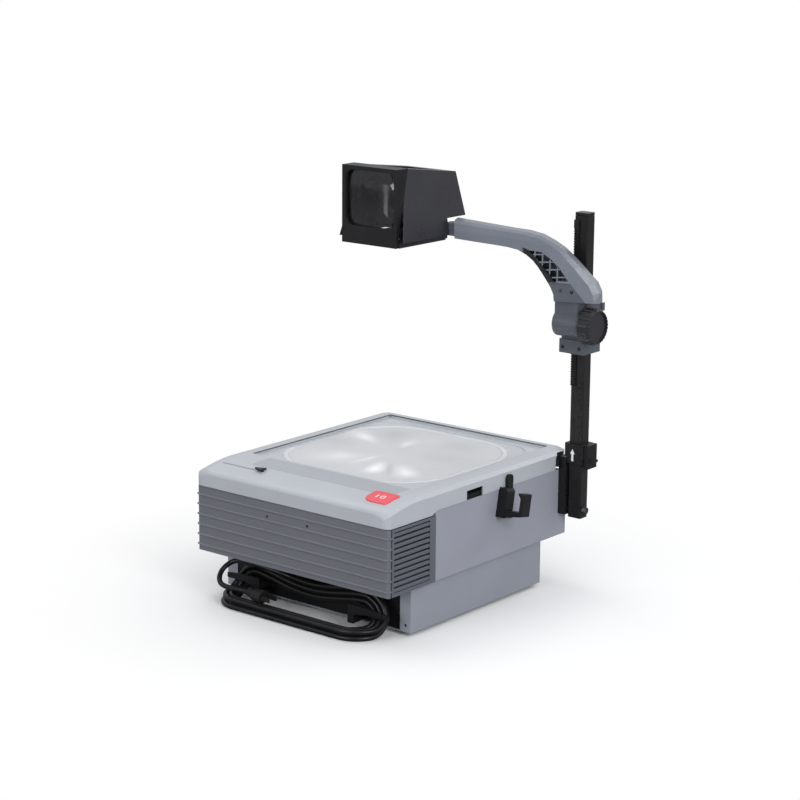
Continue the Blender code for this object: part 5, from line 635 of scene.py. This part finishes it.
sheet = piece("stage_lens_sheet", block([lens_line(1 - inset / lens_half, z) for z, inset in (
    (lens_low.z, 0.0006), (lens_low.z + 0.0006, 0), (lens_high.z - 0.0008, 0), (lens_high.z - 0.0004, 0.0006))]),
              "fresnel", "lid", origin=(lens_mid.x - FOCUS_SHIFT, lens_mid.y, lens_low.z))
# A raised ring round the lens sheet, pale as a painted highlight band
piece("stage_lens_rim", band([lens_line(1 - inset / lens_half, lens_high.z + lift) for inset, lift in (
    (-0.0015, -0.0006), (0.0005, 0.0002), (0.0035, 0.0002), (0.0075, -0.0006))]),
      "rim", "lid", smooth=True)
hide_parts("fresnel_lens")
top, low = lens_high.z - 0.0004, lens_low.z + 0.0002
piece("stage_surround", band([glass_line(0.001, low, 0.004, 16), glass_line(0.001, top, 0.004, 16),
                              lens_line(0.985, top), lens_line(0.985, low)]), "surround", "lid")


# Small pieces that the photo shows
COVER_TOP, COVER_NOSE, CREST, FRONT, NOSE_CURVE = 0.1885, 0.1790, -0.1360, -0.1952, 0.65


def surface_z(y):
    """Height of the cover's top at a depth."""
    if y >= CREST:
        return COVER_TOP
    along = (CREST - y) / (CREST - FRONT)
    return COVER_TOP - (COVER_TOP - COVER_NOSE) * (NOSE_CURVE * along ** 2 + (1 - NOSE_CURVE) * along)


def hit(node, start, aim):
    """Where a line from a machine point first meets a node, and the face's normal there."""
    ok, place, normal, _ = NODES[node].ray_cast(at(*start), Vector(aim).normalized())
    if not ok:
        raise RuntimeError("no surface of " + node + " at " + str(start))
    return place, normal


def screw(name, place, normal, radius, lift, spin):
    """A low domed head with a cross recess, standing on a face."""
    bm = bmesh.new()
    segments, rows = 40, 9
    stand = normal.to_track_quat("Z", "Y").to_matrix().to_4x4()
    matrix = Matrix.Translation(place + normal * lift) @ stand @ Matrix.Rotation(spin, 4, "Z")

    def point(u, v):
        z = radius * 0.34 * math.sqrt(max(0.0, 1 - (math.hypot(u, v) / radius) ** 2 * 0.85))
        if any(a < radius * 0.13 and b < radius * 0.62 for a, b in ((abs(u), abs(v)), (abs(v), abs(u)))):
            z -= radius * 0.30
        return bm.verts.new(matrix @ Vector((u, v, z)))

    middle, last = point(0, 0), None
    for row in range(1, rows + 1):
        ring = [point(u, v) for u, v in circle(radius * row / rows, segments)]
        for k in range(segments):
            after = (k + 1) % segments
            if last is None:
                bm.faces.new((middle, ring[k], ring[after]))
            else:
                bm.faces.new((last[k], ring[k], ring[after], last[after]))
        last = ring
    foot = [bm.verts.new(matrix @ Vector((u, v, -radius * 0.2))) for u, v in circle(radius, segments)]
    for k in range(segments):
        after = (k + 1) % segments
        bm.faces.new((last[k], foot[k], foot[after], last[after]))
    bm.faces.new(foot[::-1])
    piece(name, bm, "screw_dark", "carriage")


MARK_THICK = 0.00025


def flat_mark(name, matrix, body, outlines=(), rings=()):
    """A thin white mark in a plane: filled outlines, and rings between an outer and an inner line."""
    bm = bmesh.new()
    for line in outlines:
        block([[matrix @ Vector((u, v, z)) for u, v in line] for z in (0, MARK_THICK)], bm)
    for outer, inner in rings:
        band([[matrix @ Vector((u, v, z)) for u, v in line] for line, z in
              ((outer, 0), (outer, MARK_THICK), (inner, MARK_THICK), (inner, 0))], bm)
    piece(name, bm, "print_white", body)


def rounded_loop(half_x, half_y, square, cx):
    """A loop between an ellipse, with square 2, and a rectangle, with a high square."""
    return [(cx + math.copysign(abs(c) ** (2 / square), c) * half_x, math.copysign(abs(s) ** (2 / square), s) * half_y)
            for c, s in circle(1.0, 36)]


# On and off marks on the red button, which lies along the cover's slope
BUTTON_FRONT, BUTTON_REAR, BUTTON_RISE = -0.1780, -0.1470, 0.00172
BUTTON_X, BUTTON_Y, MARK_SINK = 0.1275, -0.1625, 0.0001
front_z, rear_z = surface_z(BUTTON_FRONT) + BUTTON_RISE, surface_z(BUTTON_REAR) + BUTTON_RISE
slope = math.atan2(rear_z - front_z, BUTTON_REAR - BUTTON_FRONT)
mark_z = front_z + (rear_z - front_z) * (BUTTON_Y - BUTTON_FRONT) / (BUTTON_REAR - BUTTON_FRONT) - MARK_SINK
flat_mark("button_marks", Matrix.Translation(at(BUTTON_X, BUTTON_Y, mark_z)) @ Matrix.Rotation(slope, 4, "X"),
          "button", [rounded_loop(0.0009, 0.0042, 6.0, -0.0052)],
          [(rounded_loop(0.0036, 0.0043, 2.4, 0.0042), rounded_loop(0.0022, 0.0029, 2.4, 0.0042))])

# Up arrow on the release collar
place, _ = hit("release_collar", (0.1900, 0.1500, 0.1855), (0, 1, 0))
arrow = [(-0.0016, -0.0085), (0.0016, -0.0085), (0.0016, 0.0018), (0.0038, 0.0018), (0.0, 0.0085), (-0.0038, 0.0018),
         (-0.0016, 0.0018)]
flat_mark("collar_arrow", Matrix.Translation(place + Vector((0, 0.00005, 0))) @ Matrix.Rotation(math.pi / 2, 4, "X"),
          "collar", [arrow])

# A blank strip, a little darker than the cover, that follows its top in front of the glass
STRIP_X, STRIP_FRONT, STRIP_REAR, STRIP_STEPS = (-0.1040, 0.1365), -0.1525, -0.1153, 12
STRIP_PROUD, STRIP_SUNK = Vector((0, 0, 0.00018)), Vector((0, 0, 0.0002))
bm = bmesh.new()
depths = [STRIP_FRONT + (STRIP_REAR - STRIP_FRONT) * k / STRIP_STEPS for k in range(STRIP_STEPS + 1)]
rows = [[at(x, y, surface_z(y)) for x in STRIP_X] for y in depths]
top = [[bm.verts.new(p + STRIP_PROUD) for p in row] for row in rows]
low = [[bm.verts.new(p - STRIP_SUNK) for p in row] for row in rows]
for a, b in zip(top, top[1:]):
    bm.faces.new((a[0], a[1], b[1], b[0]))
for a, b in zip(low, low[1:]):
    bm.faces.new((a[1], a[0], b[0], b[1]))
for side in (0, 1):
    for k in range(STRIP_STEPS):
        bm.faces.new((top[k][side], top[k + 1][side], low[k + 1][side], low[k][side]))
for k in (0, STRIP_STEPS):
    bm.faces.new((top[k][0], top[k][1], low[k][1], low[k][0]))
piece("cover_strip", bm, "strip", "lid")

# Screws: two on the arm's outer side, each placed along it and above its foot, and two low on the carriage
ARM_OUT = Vector((0.4327, -0.9015, 0))
ARM_FOOT, ARM_REACH = (0.2000, 0.1550, 0.4040), (-0.1500, -0.0720, 0.1080)
for k, (along, rise) in enumerate(((0.108, 0.143), (0.016, 0.128)), 1):
    spot = [foot + reach * share for foot, reach, share in zip(ARM_FOOT, ARM_REACH, (along, along, rise))]
    place, normal = hit("arm", [c + 0.06 * n for c, n in zip(spot, ARM_OUT)], -ARM_OUT)
    screw("arm_screw_%d" % k, place, normal, 0.0024, -0.0002, 0.4)
for k, x in enumerate((0.1765, 0.2030)):
    place, normal = hit("carriage_housing", (x, 0.1000, 0.3370), (0, 1, 0))
    screw("carriage_screw_%d" % (k + 1), place, normal, 0.0025, 0.0001, 0.2 + k)


# Black sheets put in as painted shade: inside the head, behind the bezel and behind the latch's opening
def shade_sheet(name, low, high, body):
    outline = [(low[0], low[1]), (high[0], low[1]), (high[0], high[1]), (low[0], high[1])]
    piece(name, block([[at(x, y, z) for x, y in outline] for z in (low[2], high[2])]), "black", body)


shade_sheet("hood_shade_sheet", (-0.0460, 0.0672, 0.5030), (0.0400, 0.0678, 0.5560), "head")
shade_sheet("bezel_shade_sheet", (0.0440, -0.0255, 0.4815), (0.0446, -0.0100, 0.5030), "head")
shade_sheet("notch_shade_sheet", (0.1560, -0.0400, 0.1575), (0.1566, 0.0060, 0.1735), "base")

# The rest hook, with its taller back block, thin outer prong and rising bar, in place of the plain one
HOOK_LEAN, HOOK_X, HOOK_Y, HOOK_LOW = math.radians(-11.0), 0.18985, 0.0385, 0.1240
HOOK_OUTLINE = (
    (0.1667, HOOK_LOW), (0.1800, HOOK_LOW - 0.0002), (0.1835, HOOK_LOW + 0.0022), (0.2060, HOOK_LOW + 0.0058),
    (0.2092, HOOK_LOW + 0.0070), (0.2092, 0.1610), (0.1995, 0.1610), (0.1995, 0.1592), (0.2035, 0.1545),
    (0.2035, HOOK_LOW + 0.0120), (0.1810, HOOK_LOW + 0.0100), (0.1810, 0.1600), (0.1785, 0.1640), (0.1667, 0.1640))
HOOK_LAYERS = ((0.0300, 0.0003), (0.0306, 0.0), (0.0464, 0.0), (0.0470, 0.0003))
hook_turn = Matrix.Rotation(HOOK_LEAN, 4, "X")
hook_foot = at(HOOK_X, HOOK_Y, HOOK_LOW)
hook_mid = sum(x for x, _ in HOOK_OUTLINE) / len(HOOK_OUTLINE)
hook = piece("rest_hook_fine", block([
    [hook_foot + hook_turn @ Vector((x - HOOK_X - math.copysign(inset, x - hook_mid), y - HOOK_Y, z - HOOK_LOW))
     for x, z in HOOK_OUTLINE] for y, inset in HOOK_LAYERS]), "black", "base")
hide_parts("mast_rest_hook")

# Two pin holes in the ribbed front, each with a fine rim and drawn as a black cup, whose black is painted shade of the
# hole; the ray beside them finds the panel's face
PIN_Z, RAY_ASIDE = 0.1358, 0.0022
for k, x in enumerate((-0.0402, 0.0300), 1):
    face_y = hit("front_panel", (x + RAY_ASIDE, -0.2600, PIN_Z), (0, 1, 0))[0].y
    middle_x = at(x, 0, 0).x
    piece("pin_hole_%d" % k, block([
        [(middle_x + u, face_y + lift, PIN_Z + v) for u, v in circle(radius, 20)]
        for radius, lift in ((0.0018, 0.0001), (0.0017, -0.0003), (0.0012, -0.0003), (0.0010, 0.0008))]),
          "black", "base")


# Floor, backdrop and soft studio light
FLOOR_HALF = 7.0
WHITE = (1, 1, 1, 1)
mesh = bpy.data.meshes.new("floor")
corners = ((-1, -1), (1, -1), (1, 1), (-1, 1))
mesh.from_pydata([(x * FLOOR_HALF, y * FLOOR_HALF, 0) for x, y in corners], [], [(0, 1, 2, 3)])
floor = bpy.data.objects.new("floor", mesh)
SCENE.collection.objects.link(floor)
t, shader = material("floor")
soft = t.span(t.noise(t.place(), 3.0), 0, 1)
t.fill(shader, Base_Color=t.mix(soft, (0.90, 0.90, 0.90), (0.92, 0.92, 0.92)), Roughness=0.9)
away = t.new("VectorMath", Vector=t.place())
away.operation = "LENGTH"
bare = t.new("Emission", Color=WHITE, Strength=1.0)
dim = t.new("BsdfDiffuse", Color=(0.30, 0.30, 0.31, 1))
seen = t.new("LightPath").outputs["Is Camera Ray"]
far = t.maths("MULTIPLY", seen, t.span(away.outputs["Value"], 0.0, 1.0, 0.24, 0.56))
floor.data.materials.append(t.end(t.blend(far, t.blend(seen, dim, shader), bare)))
floor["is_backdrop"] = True

world = bpy.data.worlds.new("world")
SCENE.world = world
t = Tree(world)
shown = t.fill(t.nodes["Background"], Color=WHITE, Strength=1.0)
way = t.axes(t.new("TexCoord").outputs["Generated"])
rise = t.maths("ADD", way["Z"], t.maths("MULTIPLY", way["Y"], 0.35))
lit = t.new("Background", Color=t.mix(t.span(rise, 0, 1, -0.45, 0.75), (0.53, 0.535, 0.55), (0.90, 0.91, 0.93)),
            Strength=0.80)
t.end(t.blend(t.new("LightPath").outputs["Is Camera Ray"], lit, shown), "World Output")


def area(name, place, aim, size, power):
    light = bpy.data.lights.new(name, "AREA")
    light.shape = "RECTANGLE"
    light.size, light.size_y = size
    light.energy = power
    obj = bpy.data.objects.new(name, light)
    SCENE.collection.objects.link(obj)
    obj.location = place
    obj.rotation_mode = "QUATERNION"
    obj.rotation_quaternion = (Vector(aim) - Vector(place)).to_track_quat("-Z", "Y")
    obj.visible_camera = False


area("key", (-1.2, 0.3, 2.6), (0, 0, 0.2), (1.4, 1.2), 12)
area("fill", (2.4, -0.9, 1.2), (0, 0, 0.25), (1.0, 1.2), 34)
area("front", (-0.5, -2.8, 0.9), (0, 0, 0.2), (1.6, 1.0), 22)
area("rim", (0.8, 2.4, 1.8), (0, 0, 0.25), (2.0, 1.0), 16)

low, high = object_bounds()
